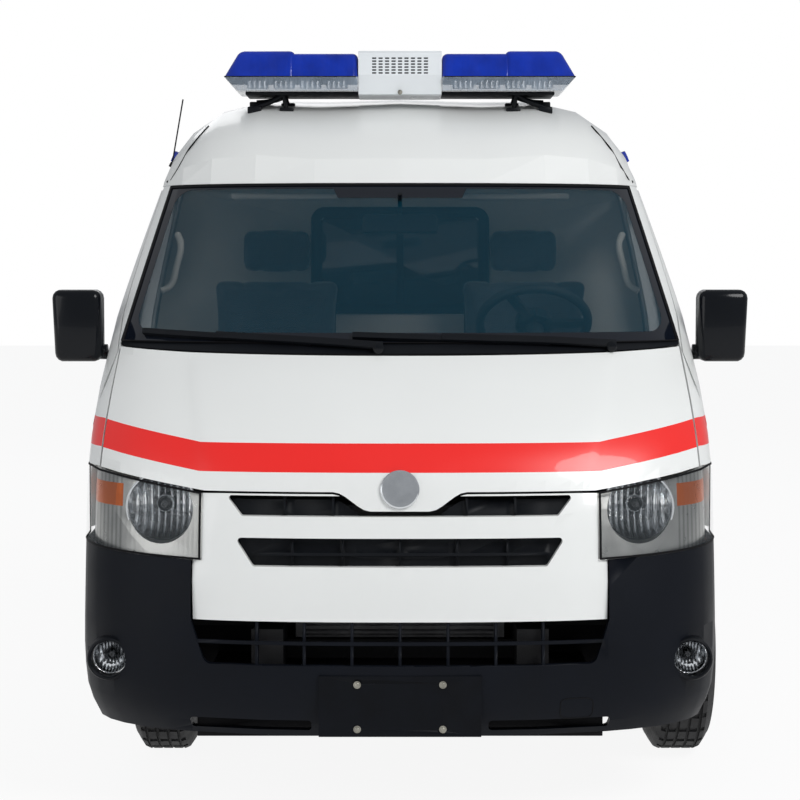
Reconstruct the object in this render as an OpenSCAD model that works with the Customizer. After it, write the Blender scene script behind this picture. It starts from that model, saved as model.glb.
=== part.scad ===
// High-roof van ambulance. Millimetres, front towards -Y, ground at Z = 0.
// The origin is under the middle of the vehicle.
// Body walls are patches of one skin: a plan outline that changes with height, by the table of levels.

/* [Size] */
// Length over the bumpers
length = 5380; // [5200:10:5600]
// Half width of the body at the waist
body_half = 940; // [900:5:980]
// Front overhang, bumper to front axle
overhang = 1005; // [950:5:1060]
// Rear overhang, rear axle to rear bumper
rear_overhang = 1265; // [1200:5:1330]
// Distance between the wheel centres of one axle
track = 1655; // [1600:5:1700]
// Height of the eave, where the walls meet the roof
eave = 1850; // [1800:5:1900]
// Height of the roof above the eave at its highest
roof_rise = 435; // [380:5:480]

/* [Body] */
// Depth of the front corners in plan
corner = 430; // [380:10:480]
// Depth of the rear corners in plan
rear_corner = 170; // [140:5:220]
// Fullness of the corners in plan
corner_pow = 2.6; // [2.2:0.1:3]
// Fullness of the roof arch
roof_pow = 2.6; // [2.2:0.1:3]
// Thickness of walls and doors
wall = 50; // [40:1:60]
// Thickness of the roof
roof_wall = 40; // [30:1:50]
// Thickness of bonnet, fascia and bumper skins
skin_t = 28; // [24:1:34]
// Height of the bonnet's middle above its creases
crease_h = 6; // [4:0.5:8]
// Thickness of the glass
glass_t = 6; // [4:0.5:8]
// Gap round moving panels
gap = 6; // [5.5:0.5:8]
// Seam between fixed panels
seam = 0.8; // [0.5:0.1:0.9]
// Radius of the wheel arches
arch_r = 415; // [405:1:430]
// Height of the sill edge
sill = 370; // [350:5:400]
// Thickness of the rear bumper
rear_t = 38; // [30:1:45]

/* [Front] */
// Height of the lower bonnet edge
bonnet_low = 945; // [930:1:960]
// Height of the upper bonnet edge
bonnet_top = 1314; // [1300:1:1330]
// Rise of the bonnet's lower edge at its sides
bonnet_rise = 49; // [40:1:60]
// Height of the windscreen's lower edge
screen_low = 1350; // [1342:1:1370]
// Inset of the windscreen's lower corners from the body's half width
screen_in_low = 72; // [60:1:90]
// Inset of the windscreen's upper corners from the body's half width
screen_in_top = 169; // [155:1:185]
// Lower edge of the painted fascia
fascia_low = 587; // [575:1:600]
// Inset of the painted fascia's ends from the body's half width
fascia_in = 348; // [330:1:365]
// Upper edge of the bumper's lower beam
beam_top = 464; // [450:1:480]
// Lower edge of the front bumper
bumper_low = 254; // [240:1:270]
// Hole spacing of the number plate holder across
plate_dx = 240; // [200:1:300]
// Hole spacing of the number plate holder in height
plate_dz = 126; // [80:1:140]
// Inset of the headlamp's inner edge from the body's half width
lamp_inset = 374; // [355:1:390]
// Setback of the headlamp's rear end
lamp_end = 518; // [500:1:520]
// Lower edge of the headlamp at its inner end
lamp_low = 752; // [740:1:765]

/* [Wheels] */
// Outer radius of the tyre
tyre_r = 345; // [330:1:350]
// Width of the tyre
tyre_w = 196; // [180:1:205]
// Radius of the rim seat
rim_r = 192; // [180:1:200]
// Radius of the stub axles
stub_r = 30; // [24:1:36]
// Play between turning parts
play = 0.5; // [0.3:0.1:0.8]
// Distance of the kingpin inboard of the wheel centre
kingpin_in = 97; // [90:1:105]

/* [Roof gear] */
// Length of the light bar
bar_len = 1194; // [1100:2:1260]
// Height of the light bar's underside above the roof
bar_stand = 27; // [20:1:40]
// Height of the light bar
bar_h = 148; // [130:1:165]
// Setback of the light bar's middle
bar_s = 1490; // [1450:5:1550]
// Depth of the light bar
bar_d = 290; // [250:5:320]
// Length of the speaker in the middle of the light bar
speaker_len = 284; // [260:2:310]

/* [Hidden] */
$fn = 48;
front_axle = overhang;
rear_axle_s = length - rear_overhang;
axle_z = tyre_r;
floor_top = 610;
floor_low = 560;
cab_top = 805;
rail_in = 330;
rail_out = 420;
rail_low = 440;
wheel_x = track / 2;
king_x = wheel_x - kingpin_in;
part_s = 1600;
door_rear = 1560;
plate_z = 351;
door_low = 790;
bumper_end = 655;
door_top = eave - 14;
slide_s0 = 1690;
slide_s1 = along(2890);
gate_half = body_half - 205;
screen_half_low = body_half - screen_in_low;
screen_half_top = body_half - screen_in_top;
fascia_half = body_half - fascia_in;
lamp_in = body_half - lamp_inset;
lamp_x = body_half - 250;
lamp_z = 886;
fog_x = body_half - 102;
fog_z = 456;
fog_r = 51;
slot_in = lamp_in - 72;
gate_low = 640;
gate_top = eave - 10;
screen_top = eave - seam;
belt = 1290;
window_low = belt + 40;
window_top = eave - 115;

// Levels of the plan outline, with named columns.
LEVEL_Z = 0;
LEVEL_FRONT = 1;
LEVEL_HALF = 2;
LEVEL_BACK = 3;
levels = [
  [250, 62, 0.963, 45],
  [330, 14, 0.989, 30],
  [450, 0, 0.999, 22],
  [590, 14, 1, 20],
  [740, 42, 1, 20],
  [950, 92, 1, 22],
  [1075, 165, 0.998, 26],
  [1195, 288, 0.993, 30],
  [1315, 440, 0.984, 36],
  [1400, 533, 0.974, 42],
  [1600, 748, 0.93, 60],
  [1850, 1020, 0.868, 95]];

// Roof line over the length: setback and share of the rise.
roof_line = [[1020, 0], [1080, 0.19], [1160, 0.345], [1260, 0.48], [1360, 0.575], [1480, 0.655],
  [1620, 0.705], [1850, 0.755], [2200, 0.825], [2600, 0.9], [3000, 0.96], [3400, 0.992], [3900, 1],
  [4500, 0.985], [4860, 0.945],
  [5020, 0.87], [5130, 0.72], [5200, 0.5], [5235, 0.25], [5245, 0]];

// Front edge of the front door: height and setback.
door_edge = [[0, 530], [1000, 530], [1120, 545], [1240, 600], [1330, 690], [1400, 790], [1850, 1322]];

function mix(a, b, t) = a + (b - a) * t;
// Setbacks behind the cab stretch with the length.
function along(s) = s + (length - 5380) * max(0, s - 2200) / 3045;
function spow(b, e) = b <= 0 ? 0 : pow(b, e);
function unit(v) = v / norm(v);
function steps(n) = [for (i = [0:n]) i / n];
function squeeze(list, e) = [for (i = list) mix(e, 1 - e, i)];
function slope(t, i) =
  let(a = max(0, i - 1), b = min(len(t) - 1, i + 1)) (t[b][1] - t[a][1]) / (t[b][0] - t[a][0]);
function ease(a, b, ma, mb, h, u) =
  (2 * u ^ 3 - 3 * u ^ 2 + 1) * a + (u ^ 3 - 2 * u ^ 2 + u) * h * ma
  + (3 * u ^ 2 - 2 * u ^ 3) * b + (u ^ 3 - u ^ 2) * h * mb;
function dense(t) = concat(
  [for (i = [0:len(t) - 2]) for (k = [0:5])
    let(h = t[i + 1][0] - t[i][0], u = k / 6)
    [t[i][0] + h * u, ease(t[i][1], t[i + 1][1], slope(t, i), slope(t, i + 1), h, u)]],
  [t[len(t) - 1]]);
function level_z(row) = let(z = row[LEVEL_Z]) z > 1320 ? 1320 + (z - 1320) * (eave - 1320) / 530 : z;
front_line = dense([for (r = levels) [level_z(r), r[LEVEL_FRONT]]]);
half_line = dense([for (r = levels) [level_z(r), r[LEVEL_HALF] * body_half]]);
back_line = dense([for (r = levels) [level_z(r), length - 40 - r[LEVEL_BACK]]]);
top_line = dense(roof_line);
plate_front = front(438) + 0.3 - 8;
half_l = (back(590) + rear_t + plate_front) / 2;
bar_low = eave + roof_rise * lookup(bar_s, top_line) + bar_stand;
bar_top = bar_low + bar_h;
lamp_gap = 4;
function front(z) = lookup(z, front_line);
function half(z) = lookup(z, half_line);
function back(z) = lookup(z, back_line);
function setback(x, z) = corner * (1 - spow(1 - spow(abs(x) / half(z), corner_pow), 1 / corner_pow));

// Places along the plan outline: 0 to 1 front corner, 1 to 2 side, 2 to 3 rear corner.
// They are negative on the other side.
function q_front(x, z) = asin(min(1, spow(x / half(z), corner_pow / 2))) / 90;
function nose_q(x, z) = sign(x) * q_front(abs(x), z);
function q_side(s, z) =
  let(a = front(z) + corner, b = back(z) - rear_corner)
  s < a ? acos(min(1, spow((a - s) / corner, corner_pow / 2))) / 90
  : s <= b ? 1 + (s - a) / (b - a) : 2 + asin(min(1, spow((s - b) / rear_corner, corner_pow / 2))) / 90;
function q_rear(x, z) = 2 + acos(min(1, spow(x / half(z), corner_pow / 2))) / 90;
function outline(q, z) =
  let(g = q < 0 ? -1 : 1, p = abs(q), w = half(z), a = front(z) + corner, b = back(z) - rear_corner,
      e = 2 / corner_pow)
  p <= 1 ? [g * w * spow(sin(90 * p), e), a - corner * spow(cos(90 * p), e) - half_l, z]
  : p <= 2 ? [g * w, mix(a, b, p - 1) - half_l, z]
  : [g * w * spow(cos(90 * (p - 2)), e), b + rear_corner * spow(sin(90 * (p - 2)), e) - half_l, z];
function skin(q, z, d) =
  let(n = unit(cross(outline(q + 0.01, z) - outline(q - 0.01, z), outline(q, z + 2) - outline(q, z - 2))))
  outline(q, z) - n * d;

// Places on the roof: -1 to 1 across, setback along.
function roof_fade(s) = max(0, min(1, (2200 - s) / 1180));
function roof_tail(s) = max(0, min(1, (s - 4660) / 585));
function roof_at(a, s) =
  let(g = a < 0 ? -1 : 1, e = 2 / roof_pow, w = half(eave), x = w * spow(sin(90 * abs(a)), e),
      bow = corner * (1 - spow(1 - spow(x / w, corner_pow), 1 / corner_pow)),
      tail = rear_corner * (1 - spow(1 - spow(x / w, corner_pow), 1 / corner_pow)))
  [g * x, along(s) + bow * roof_fade(s) - tail * roof_tail(s) - half_l,
   eave + roof_rise * lookup(s, top_line) * spow(cos(90 * a), e)];
function roof_skin(a, s, d) =
  let(n = unit(cross(roof_at(a + 0.01, s) - roof_at(a - 0.01, s), roof_at(a, s + 4) - roof_at(a, s - 4))))
  roof_at(a, s) - n * d;
function roof_inside(a, s) =
  let(p = roof_at(a, s), w = half(eave), m = (roof_line[len(roof_line) - 1][0] + roof_line[0][0]) / 2)
  [p[0] * (w - roof_wall) / w, p[1] + roof_wall * 1.2 * (m - s) / (m - roof_line[0][0]),
   eave + (p[2] - eave) * (roof_rise - roof_wall) / roof_rise];

// A closed solid between two grids of points of one size.
module sheet(top, low) {
  rows = len(top);
  cols = len(top[0]);
  function o(j, i) = j * cols + i;
  function n(j, i) = rows * cols + j * cols + i;
  points = concat([for (r = top) each r], [for (r = low) each r]);
  faces = concat(
    [for (j = [0:rows - 2]) for (i = [0:cols - 2]) each [
      [o(j, i), o(j + 1, i), o(j + 1, i + 1)], [o(j, i), o(j + 1, i + 1), o(j, i + 1)],
      [n(j, i), n(j + 1, i + 1), n(j + 1, i)], [n(j, i), n(j, i + 1), n(j + 1, i + 1)]]],
    [for (i = [0:cols - 2]) each [
      [o(0, i), o(0, i + 1), n(0, i + 1)], [o(0, i), n(0, i + 1), n(0, i)],
      [o(rows - 1, i), n(rows - 1, i), n(rows - 1, i + 1)],
      [o(rows - 1, i), n(rows - 1, i + 1), o(rows - 1, i + 1)]]],
    [for (j = [0:rows - 2]) each [
      [o(j, 0), n(j, 0), n(j + 1, 0)], [o(j, 0), n(j + 1, 0), o(j + 1, 0)],
      [o(j, cols - 1), o(j + 1, cols - 1), n(j + 1, cols - 1)],
      [o(j, cols - 1), n(j + 1, cols - 1), n(j, cols - 1)]]]);
  polyhedron(points = points, faces = faces, convexity = 6);
}
function grid(uv, is, js, d) = [for (j = js) [for (i = is) let(p = uv(i, j)) skin(p[0], p[1], d)]];
function roof_grid(uv, is, js, d) = [for (j = js) [for (i = is) let(p = uv(i, j)) roof_skin(p[0], p[1], d)]];
module patch(uv, is, js, d0, d1, ei = 0, ej = 0)
  sheet(grid(uv, is, js, d0), grid(uv, squeeze(is, ei), squeeze(js, ej), d1));

// A polygon with its corners rounded.
function rounded(pts, r, n = 5) = [for (k = [0:len(pts) - 1])
  let(p = pts[k], a = unit(pts[(k + len(pts) - 1) % len(pts)] - p), b = unit(pts[(k + 1) % len(pts)] - p),
      ang = acos(a * b), cut = r / tan(ang / 2), c = p + unit(a + b) * r / sin(ang / 2),
      v0 = p + a * cut - c, v1 = p + b * cut - c, t0 = atan2(v0[1], v0[0]), t1 = atan2(v1[1], v1[0]),
      dt = ((t1 - t0 + 540) % 360) - 180)
  for (i = [0:n]) c + r * [cos(t0 + dt * i / n), sin(t0 + dt * i / n)]];
// Points of setback and height, placed from a setback.
function placed(s, pts) = [for (p = pts) [s + p[0] - half_l, p[1]]];
module along_x(x0, x1, pts)
  translate([x0, 0, 0]) rotate([90, 0, 90]) linear_extrude(x1 - x0) polygon(pts);
module along_y(s0, s1, pts)
  translate([0, s1 - half_l, 0]) rotate([90, 0, 0]) linear_extrude(s1 - s0) polygon(pts);
module box(x0, x1, s0, s1, z0, z1)
  translate([x0, s0 - half_l, z0]) cube([x1 - x0, s1 - s0, z1 - z0]);
function window(s0, s1, z0, z1, r, e) = rounded(grow([
  [s0 - half_l, z0], [s1 - half_l, z0], [s1 - half_l, z1], [s0 - half_l, z1]], e), r + e);
function grow(pts, e) = [for (k = [0:len(pts) - 1])
  let(p = pts[k], a = unit(pts[(k + len(pts) - 1) % len(pts)] - p), b = unit(pts[(k + 1) % len(pts)] - p))
  p - unit(a + b) * e / sin(acos(a * b) / 2)];
module round_x(x0, x1, s, z, r)
  translate([x0, s - half_l, z]) rotate([0, 90, 0]) cylinder(r = r, h = x1 - x0);
module both() {
  children();
  mirror([1, 0, 0]) children();
}

// Wheel arches cut through the walls.
module arch(s) both() round_x(560, 1200, s, axle_z, arch_r);

// Underbody
module floor_pan() color("dimgray") difference() {
  union() {
    box(-half(600) + wall + seam, half(600) - wall - seam, part_s - 40, length - 240, floor_low, floor_top);
    box(-half(790) + wall + 8, half(790) - wall - 8, 690, part_s, cab_top - 40, cab_top);
    box(-half(700) + wall + seam, half(700) - wall - seam, part_s - 40, part_s, floor_low, cab_top);
    box(-body_half + 150, body_half - 150, 690, 730, cab_top - 1, 1260);
    both() intersection() {
      round_x(560, half(sill) - wall - 2, rear_axle_s, axle_z, arch_r + 26);
      box(500, 1000, rear_axle_s - 600, rear_axle_s + 600, sill + 30, 1000);
    }
    both() intersection() {
      round_x(560, half(sill) - wall - 2, front_axle, axle_z, arch_r + 14);
      box(500, 1000, front_axle - 600, front_axle + 600, sill + 50, cab_top);
    }
  }
  arch(front_axle);
  arch(rear_axle_s);
}
module frame_rails() color("#2a2b2d") {
  both() box(rail_in, rail_out, rail_nose, length - 260, rail_low, floor_low - seam);
  box(-rail_in - 1, rail_in + 1, 250, 330, rail_low, rail_low + 55);
  box(-rail_in - 1, rail_in + 1, front_axle - 60, front_axle + 60, rail_low, rail_low + 45);
  difference() {
    box(-body_half + 140, body_half - 140, 345, 357, floor_low - 40, bonnet_low - 10);
    box(-320, 320, 340, 360, floor_low - 50, bonnet_low - 90);
  }
  for (s = [-1515, -765, 585]) translate([0, rear_axle_s, 0])
    box(-rail_in - 1, rail_in + 1, s, s + 60, floor_low - 45, floor_low - seam);
}
rail_nose = front(floor_low) + setback(rail_out, floor_low) + skin_t + 4;
module radiator() color("#3a3d40") {
  box(-305, 305, 285, 344, rail_low + 55 + seam, 880);
  for (k = [0:12]) round_x(-305, 305, 285, rail_low + 70 + k * 28, 9);
  both() box(285, 305, 270, 290, rail_low + 58, rail_low + 430);
}
module engine() color("#4a4c4e") {
  box(-270, 270, front_axle - 150, part_s - 46, rail_low + 45.5, cab_top - 60);
  translate([0, part_s - 60 - half_l, gearbox_z]) rotate([-90, 0, 0]) cylinder(r = 68, h = 660);
  translate([0, shaft_start - half_l, gearbox_z]) rotate([-90 - shaft_tilt, 0, 0])
    cylinder(r = 34, h = shaft_len);
}
gearbox_z = 486;
shaft_start = part_s + 580;
shaft_end = rear_axle_s - 204;
shaft_len = norm([shaft_end - shaft_start, gearbox_z - axle_z - 20]);
shaft_tilt = atan((gearbox_z - axle_z - 20) / (shaft_end - shaft_start));
module suspension() color("#2f3032") both() difference() {
  union() {
    for (z = [axle_z - 140, axle_z + 110]) translate([0, 0, z]) linear_extrude(30) polygon([
      [rail_in + 30, front_axle - 130 - half_l], [king_x, front_axle - 32 - half_l],
      [king_x + 24, front_axle - 18 - half_l], [king_x + 24, front_axle + 18 - half_l],
      [king_x, front_axle + 32 - half_l], [rail_in + 30, front_axle + 130 - half_l]]);
    box(rail_in + 30, rail_out, front_axle - 130, front_axle + 130, axle_z - 140, rail_low - seam);
  }
  translate([king_x, front_axle - half_l, 0]) cylinder(r = 13 + play, h = 700);
  box(rail_in - 1, rail_out + seam, front_axle - 131, front_axle + 131, rail_low - seam, floor_low + 20);
}
module rear_axle() color("#2f3032") {
  translate([0, rear_axle_s - half_l, axle_z]) rotate([0, 90, 0]) rotate_extrude() polygon(concat(
    [[0, wheel_x + 40]], axle_half, [for (k = [len(axle_half) - 1:-1:0]) [axle_half[k][0], -axle_half[k][1]]],
    [[0, -wheel_x - 40]]));
  translate([0, rear_axle_s - half_l, axle_z]) rotate([90, 0, 0]) cylinder(r = 62, h = 200);
  both() {
    box(rail_in + 10, rail_out - 10, rear_axle_s - 640, rear_axle_s + 640, axle_z + 40, axle_z + 68);
    for (s = [-640, 580]) box(rail_in + 10, rail_out - 10, rear_axle_s + s, rear_axle_s + s + 60,
      axle_z + 60, rail_low - seam);
  }
}
axle_half = [[stub_r, wheel_x + 40], [stub_r, wheel_x - 60], [130, wheel_x - 60], [130, wheel_x - 120],
  [45, wheel_x - 120], [45, 150], [130, 70]];
module fuel_tank() color("#1f2022")
  box(rail_out + 30, half(450) - wall - 60, mix(part_s, rear_axle_s, 0.22), mix(part_s, rear_axle_s, 0.58),
    350, floor_low - seam);
module exhaust() color("#8a8c8e") {
  translate([-560, rear_axle_s - 1615 - half_l, 420]) rotate([-90, 0, 0]) cylinder(r = 90, h = 620);
  translate([-560, 1900 - half_l, 420]) rotate([-90, 0, 0]) cylinder(r = 28, h = rear_axle_s - 2615);
  box(-575, -545, rear_axle_s - 1215, rear_axle_s - 1185, 480, floor_low - seam);
}

// Body walls
module wall_part(z0, z1, s0, rows) patch(
  function(i, j) let(z = mix(z0, z1, j), a = q_side(s0, z), b = q_rear(gate_half + gap, z))
    [i < 0.5 ? mix(a, 2, i * 2) : mix(2, b, i * 2 - 1), z],
  concat([0, 0.5], [for (k = corner_cols) 0.5 + k / 2]), steps(rows), 0, wall);
module side_shape(sliding) difference() {
  union() {
    wall_part(sill, door_low - gap, bumper_end + seam, 4);
    wall_part(door_low - gap, eave - seam, door_rear + gap, 10);
  }
  arch(front_axle);
  arch(rear_axle_s);
  for (k = sliding ? [1, 2] : [0, 1, 2]) side_hole(side_window(k, 0));
  if (sliding) side_hole(window(slide_s0, slide_s1, sill + 40, eave - 60, 70, 0));
}
// Side windows from front to rear: setbacks of their ends.
window_table = [[slide_s0 + 90, slide_s1 - 60], [along(3060), along(4080)], [along(4180), along(4960)]];
function side_window(k, e) = window(window_table[k][0], window_table[k][1], window_low, window_top, 60, e);
module side_hole(pts) along_x(body_half / 2, body_half * 1.3, pts);
module side_left() color("white") side_shape(false);
module side_right() color("white") mirror([1, 0, 0]) side_shape(true);
module sliding_door() color("white") mirror([1, 0, 0]) difference() {
  intersection() {
    patch(function(i, j) [q_side(mix(slide_s0 - 20, slide_s1 + 20, i), mix(sill + 20, eave - 40, j)),
      mix(sill + 20, eave - 40, j)], [0, 1], steps(12), 0, wall);
    side_hole(window(slide_s0, slide_s1, sill + 40, eave - 60, 70, -seam));
  }
  side_hole(side_window(0, 0));
}
module pane(pts) intersection() {
  patch(function(i, j) let(z = mix(window_low - 20, window_top + 20, j))
      [q_side(mix(1500, along(5050), i), z), z],
    [0, 1], steps(6), 3, 3 + glass_t);
  side_hole(pts);
}
module side_glass() color("#1c3038") both()
  for (k = [0:2]) pane(side_window(k, -seam));
module roof_part(rows) sheet([for (s = rows) [for (a = roof_cols) roof_at(a, s)]],
  [for (s = rows) [for (a = roof_cols) roof_inside(a, s)]]);
module roof() color("white") {
  roof_part([for (s = roof_rows) if (s >= roof_joint) s]);
  roof_part([for (s = roof_rows) if (s <= roof_joint) s]);
}
roof_joint = roof_line[10][0];
roof_half = [0.97, 0.9, 0.8, 0.66, 0.5, 0.33, 0.16];
roof_cols = concat([1], roof_half, [0], [for (k = [len(roof_half) - 1:-1:0]) -roof_half[k]], [-1]);
roof_rows = [for (k = [len(roof_line) - 1:-1:0]) roof_line[k][0]];
function screen_half(z) = mix(screen_half_low, screen_half_top, (z - screen_low) / (screen_top - screen_low));
function bonnet_side(z) = body_half - 61 - 13 * (z - 990) / 320;
screen_rows = [for (k = [0:6]) mix(screen_low + seam, screen_top - seam, k / 6)];
pillar_rows = concat([for (k = [0:4]) mix(lamp_top(1) + seam, bonnet_top + 8, k / 4)], screen_rows);
module pillars() color("white") both()
  sheet(pillar_grid(0), pillar_grid(wall - 12));
function pillar_grid(d) = [for (z = pillar_rows) [for (i = steps(4))
  skin(mix(q_front(pillar_in(z), z), q_side(lookup(z, door_edge) - gap, z), i), z, d)]];
function pillar_in(z) =
  z < screen_low ? max(bonnet_side(z) + gap, screen_half_low + seam) : screen_half(z) + seam;
module windscreen() color("#16323e")
  sheet(screen_grid(2), screen_grid(2 + glass_t));
function screen_grid(d) = [for (z = screen_rows) [for (i = steps(20))
  skin(mix(-q_front(screen_half(z), z), q_front(screen_half(z), z), i), z, d)]];
module cowl() color("#15171a")
  patch(function(i, j) let(t = mix(-1, 1, i), z = mix(bonnet_top + gap + 2 + 18 * t ^ 2, screen_low, j),
      x = screen_half(screen_low))
    [mix(-q_front(x, z), q_front(x, z), i), z], steps(20), [0, 1], 2, 16);
module wipers() color("#0d0e10") for (w = wiper_table) {
  strip([w[WIPER_TIP], mix(w[WIPER_TIP], w[WIPER_HEEL], 0.5), w[WIPER_HEEL]], 15, -12, 1.5, 7);
  strip([mix(w[WIPER_TIP], w[WIPER_HEEL], 0.45), w[WIPER_HEEL], w[WIPER_PIVOT]], 18, -16, -8, 7);
  strip([w[WIPER_PIVOT] - [13, 0], w[WIPER_PIVOT] + [13, 0]], 20, -14, 1.5, 1);
}
WIPER_TIP = 0;
WIPER_HEEL = 1;
WIPER_PIVOT = 2;
wiper_table = [
  [[78 - screen_half_low, screen_low + 26], [-269, screen_low], [-64, screen_low - 14]],
  [[-143, screen_low + 18], [453, screen_low], [640, screen_low - 11]]];
// A band on the skin along points given by width and height.
module strip(pts, h, d0, d1, n) {
  function at(i) = let(k = min(len(pts) - 2, floor(i * (len(pts) - 1))), u = i * (len(pts) - 1) - k)
    mix(pts[k], pts[k + 1], u);
  patch(function(i, j) let(p = at(i), z = p[1] + (j - 0.5) * h) [nose_q(p[0], z), z],
    steps(n), [0, 1], d0, d1);
}

// Front
function lamp_top(i) = let(x = outline(lamp_q(i, bonnet_low), bonnet_low)[0])
  bonnet_edge(x) + 1 - (x < bonnet_side(bonnet_low) + 2 * gap ? gap + 1 : 0);
function lamp_base(i) = mix(lamp_low, lamp_low + 24, i);
function lamp_q(i, z) = mix(q_front(lamp_in, z), q_side(lamp_end, z), i);
function lamp_share(q, z) = max(0, (q - lamp_q(0, z)) / (lamp_q(1, z) - lamp_q(0, z)));
function bonnet_edge(x) = bonnet_low + bonnet_rise * max(0, min(1, (abs(x) - lamp_in + 6) / 320))
  - 53 * (1 - soft((abs(x) - 85) / 105));
function soft(u) = let(v = max(0, min(1, u))) v * v * (3 - 2 * v);
// Columns shared by the bonnet and the fascia below it.
tongue_cols = [85, 103, 120, 137, 155, 172, 190];
nose_cols = concat(tongue_cols, [for (k = [0.3, 0.65, 0.84, 1]) mix(190, lamp_in - 6, k)]);
function mirrored(list) = concat([for (k = [len(list) - 1:-1:0]) -list[k]], [0], list);
// Crease on each side of the bonnet: height and half width. The panel stands proud between the creases.
crease_line = [[900, lamp_in - 26], [1000, lamp_in - 10], [1073, lamp_in + 9], [1266, lamp_in + 54],
  [1340, lamp_in + 68]];
bonnet_cols = concat([for (x = tongue_cols) x / lookup(bonnet_low, crease_line)],
  [0.45, 0.6, 0.75, 0.88, 0.95, 0.985, 1.03, 1.09, 1.2, 1.4, 1.6, 1.8, 2]);
function bonnet_x(c, z) = let(m = lookup(z, crease_line))
  sign(c) * (abs(c) < 1 ? abs(c) * m : mix(m, bonnet_side(z), abs(c) - 1));
function bonnet_z(c, j) = let(x = bonnet_x(c, bonnet_low + 20))
  mix(bonnet_edge(x), bonnet_top + 18 * (x / bonnet_side(bonnet_top)) ^ 2, j);
function bonnet_proud(c, j) =
  -crease_h * (1 - soft((abs(c) - 0.95) / 0.14)) * soft(j / 0.25) * soft((1 - j) / 0.12);
bonnet_rows = [0, 0.08, 0.18, 0.3, 0.45, 0.6, 0.75, 0.87, 0.94, 1];
function bonnet_grid(d, k) = [for (j = squeeze(bonnet_rows, (1 - k) * 0.05)) [for (c = mirrored(bonnet_cols))
  let(z = bonnet_z(c, j), x = bonnet_x(c * (1 - (1 - k) * 0.006), z))
    skin(nose_q(x, z), z, d + k * bonnet_proud(c, j))]];
module bonnet() color("white")
  sheet(bonnet_grid(0, 1), bonnet_grid(skin_t - 6, 0));
// The fascia falls back below its crease and towards the headlamps.
function fascia_back(x, z) = 9 * max(0, fascia_low + 103 - z) / 103
  + 8 * max(0, abs(x) - slot_in) / (fascia_half - slot_in);
fascia_rows = [0, 0.15, 0.29, 0.4, 0.55, 0.7, 0.85, 1];
fascia_cols = mirrored(concat(nose_cols, [fascia_half - seam]));
function fascia_grid(d, k) = [for (j = fascia_rows) [for (x = fascia_cols)
  let(z = mix(fascia_low, bonnet_edge(x) - gap, j)) skin(nose_q(x, z), z, d + k * fascia_back(x, z))]];
module fascia() color("white") difference() {
  sheet(fascia_grid(0, 1), fascia_grid(skin_t, 0));
  both() box(lamp_in - lamp_gap, fascia_half + 100, -100, 500, lamp_low - 2, 1100);
  along_y(-200, 400, slot(slot_in - 46, slot_in, bonnet_low - 68, bonnet_low - 11, 8));
  along_y(-200, 400, slot(slot_in - 79, slot_in - 26, bonnet_low - 207, bonnet_low - 128, 10));
}
function slot(w0, w1, z0, z1, r) = rounded([[-w0, z0], [w0, z0], [w1, z1], [-w1, z1]], r);
module grille() color("#0c0d0f") {
  patch(function(x, j) let(z = mix(bonnet_low - 220, bonnet_edge(x) - gap - 9, j)) [nose_q(x, z), z],
    mirrored([for (x = nose_cols) if (x < lamp_in - 40) x]), steps(4), skin_t + 0.9, skin_t + 14);
  nose(74 - slot_in, slot_in - 74, bonnet_low - 175, bonnet_low - 167, 8, 1, 10, skin_t + 4);
  for (x = [-305, -162, 0, 162, 305])
    nose(x - 3, x + 3, bonnet_low - 199, bonnet_low - 129, 1, 2, 14, skin_t + 4);
  for (x = [-328, -190, 190, 328])
    nose(x - 3, x + 3, bonnet_low - 60, bonnet_low - 11, 1, 2, 14, skin_t + 4);
}
module nose(x0, x1, z0, z1, nx, nz, d0, d1)
  patch(function(i, j) let(x = mix(x0, x1, i), z = mix(z0, z1, j)) [nose_q(x, z), z],
    steps(nx), steps(nz), d0, d1);
module bumper_front() color("#16191d") {
  difference() {
    patch(function(i, j) let(side = i < 0.5 ? -1 : 1, c = abs(2 * i - 1) * 2.2,
        top = lamp_base(lamp_share(bumper_q(c, lamp_low), lamp_low)),
        z = mix(bumper_low, top - 1.2 * seam, j))
        [side * bumper_q(c, z), z],
      bumper_cols, [0, 0.08, 0.18, 0.3, 0.42, 0.56, 0.7, 0.85, 1], 0, skin_t);
    along_y(-100, 500, rounded([[intake_half, beam_top], [fascia_half + seam, fascia_low],
      [fascia_half + seam, 1000], [-fascia_half - seam, 1000], [-fascia_half - seam, fascia_low],
      [-intake_half, beam_top]], 26));
    both() along_y(-100, 500, rounded([[250, bumper_low + 18], [fascia_half, bumper_low + 18],
      [fascia_half + 8, bumper_low + 50], [250, bumper_low + 50]], 10));
    plate_holes(7);
    both() along_y(60, 400, [for (a = [0:20:340]) [fog_x, fog_z] + (fog_r + 1) * [cos(a), sin(a)]]);
  }
  nose(-fascia_half + 5, fascia_half - 5, beam_top + 58, beam_top + 68, 10, 1, 8, skin_t - 2);
  for (k = [-3:3]) nose(k * 135 - 4, k * 135 + 4, beam_top - 10, fascia_low - 2, 1, 2, 12, skin_t - 2);
}
intake_half = fascia_half - 41;
function bumper_q(c, z) =
  let(s_end = min(bumper_end, front_axle - sqrt(max(0, (arch_r + 8) ^ 2 - (z - axle_z) ^ 2))))
  c <= 1 ? q_front(c * (fascia_half + seam), z)
  : mix(q_front(fascia_half + seam, z), q_side(s_end, z), (c - 1) / 1.2);
half_cols = [0.03, 0.15, 0.3, 0.4545, 0.52, 0.6, 0.68, 0.76, 0.84, 0.92, 1];
bumper_cols = concat([for (k = [len(half_cols) - 1:-1:0]) 0.5 - half_cols[k] / 2],
  [for (c = half_cols) 0.5 + c / 2]);
module plate() color("#14161a") difference() {
  box(-228, 228, plate_front, plate_front + 8, 266, 438);
  plate_holes(3.5);
}
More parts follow.
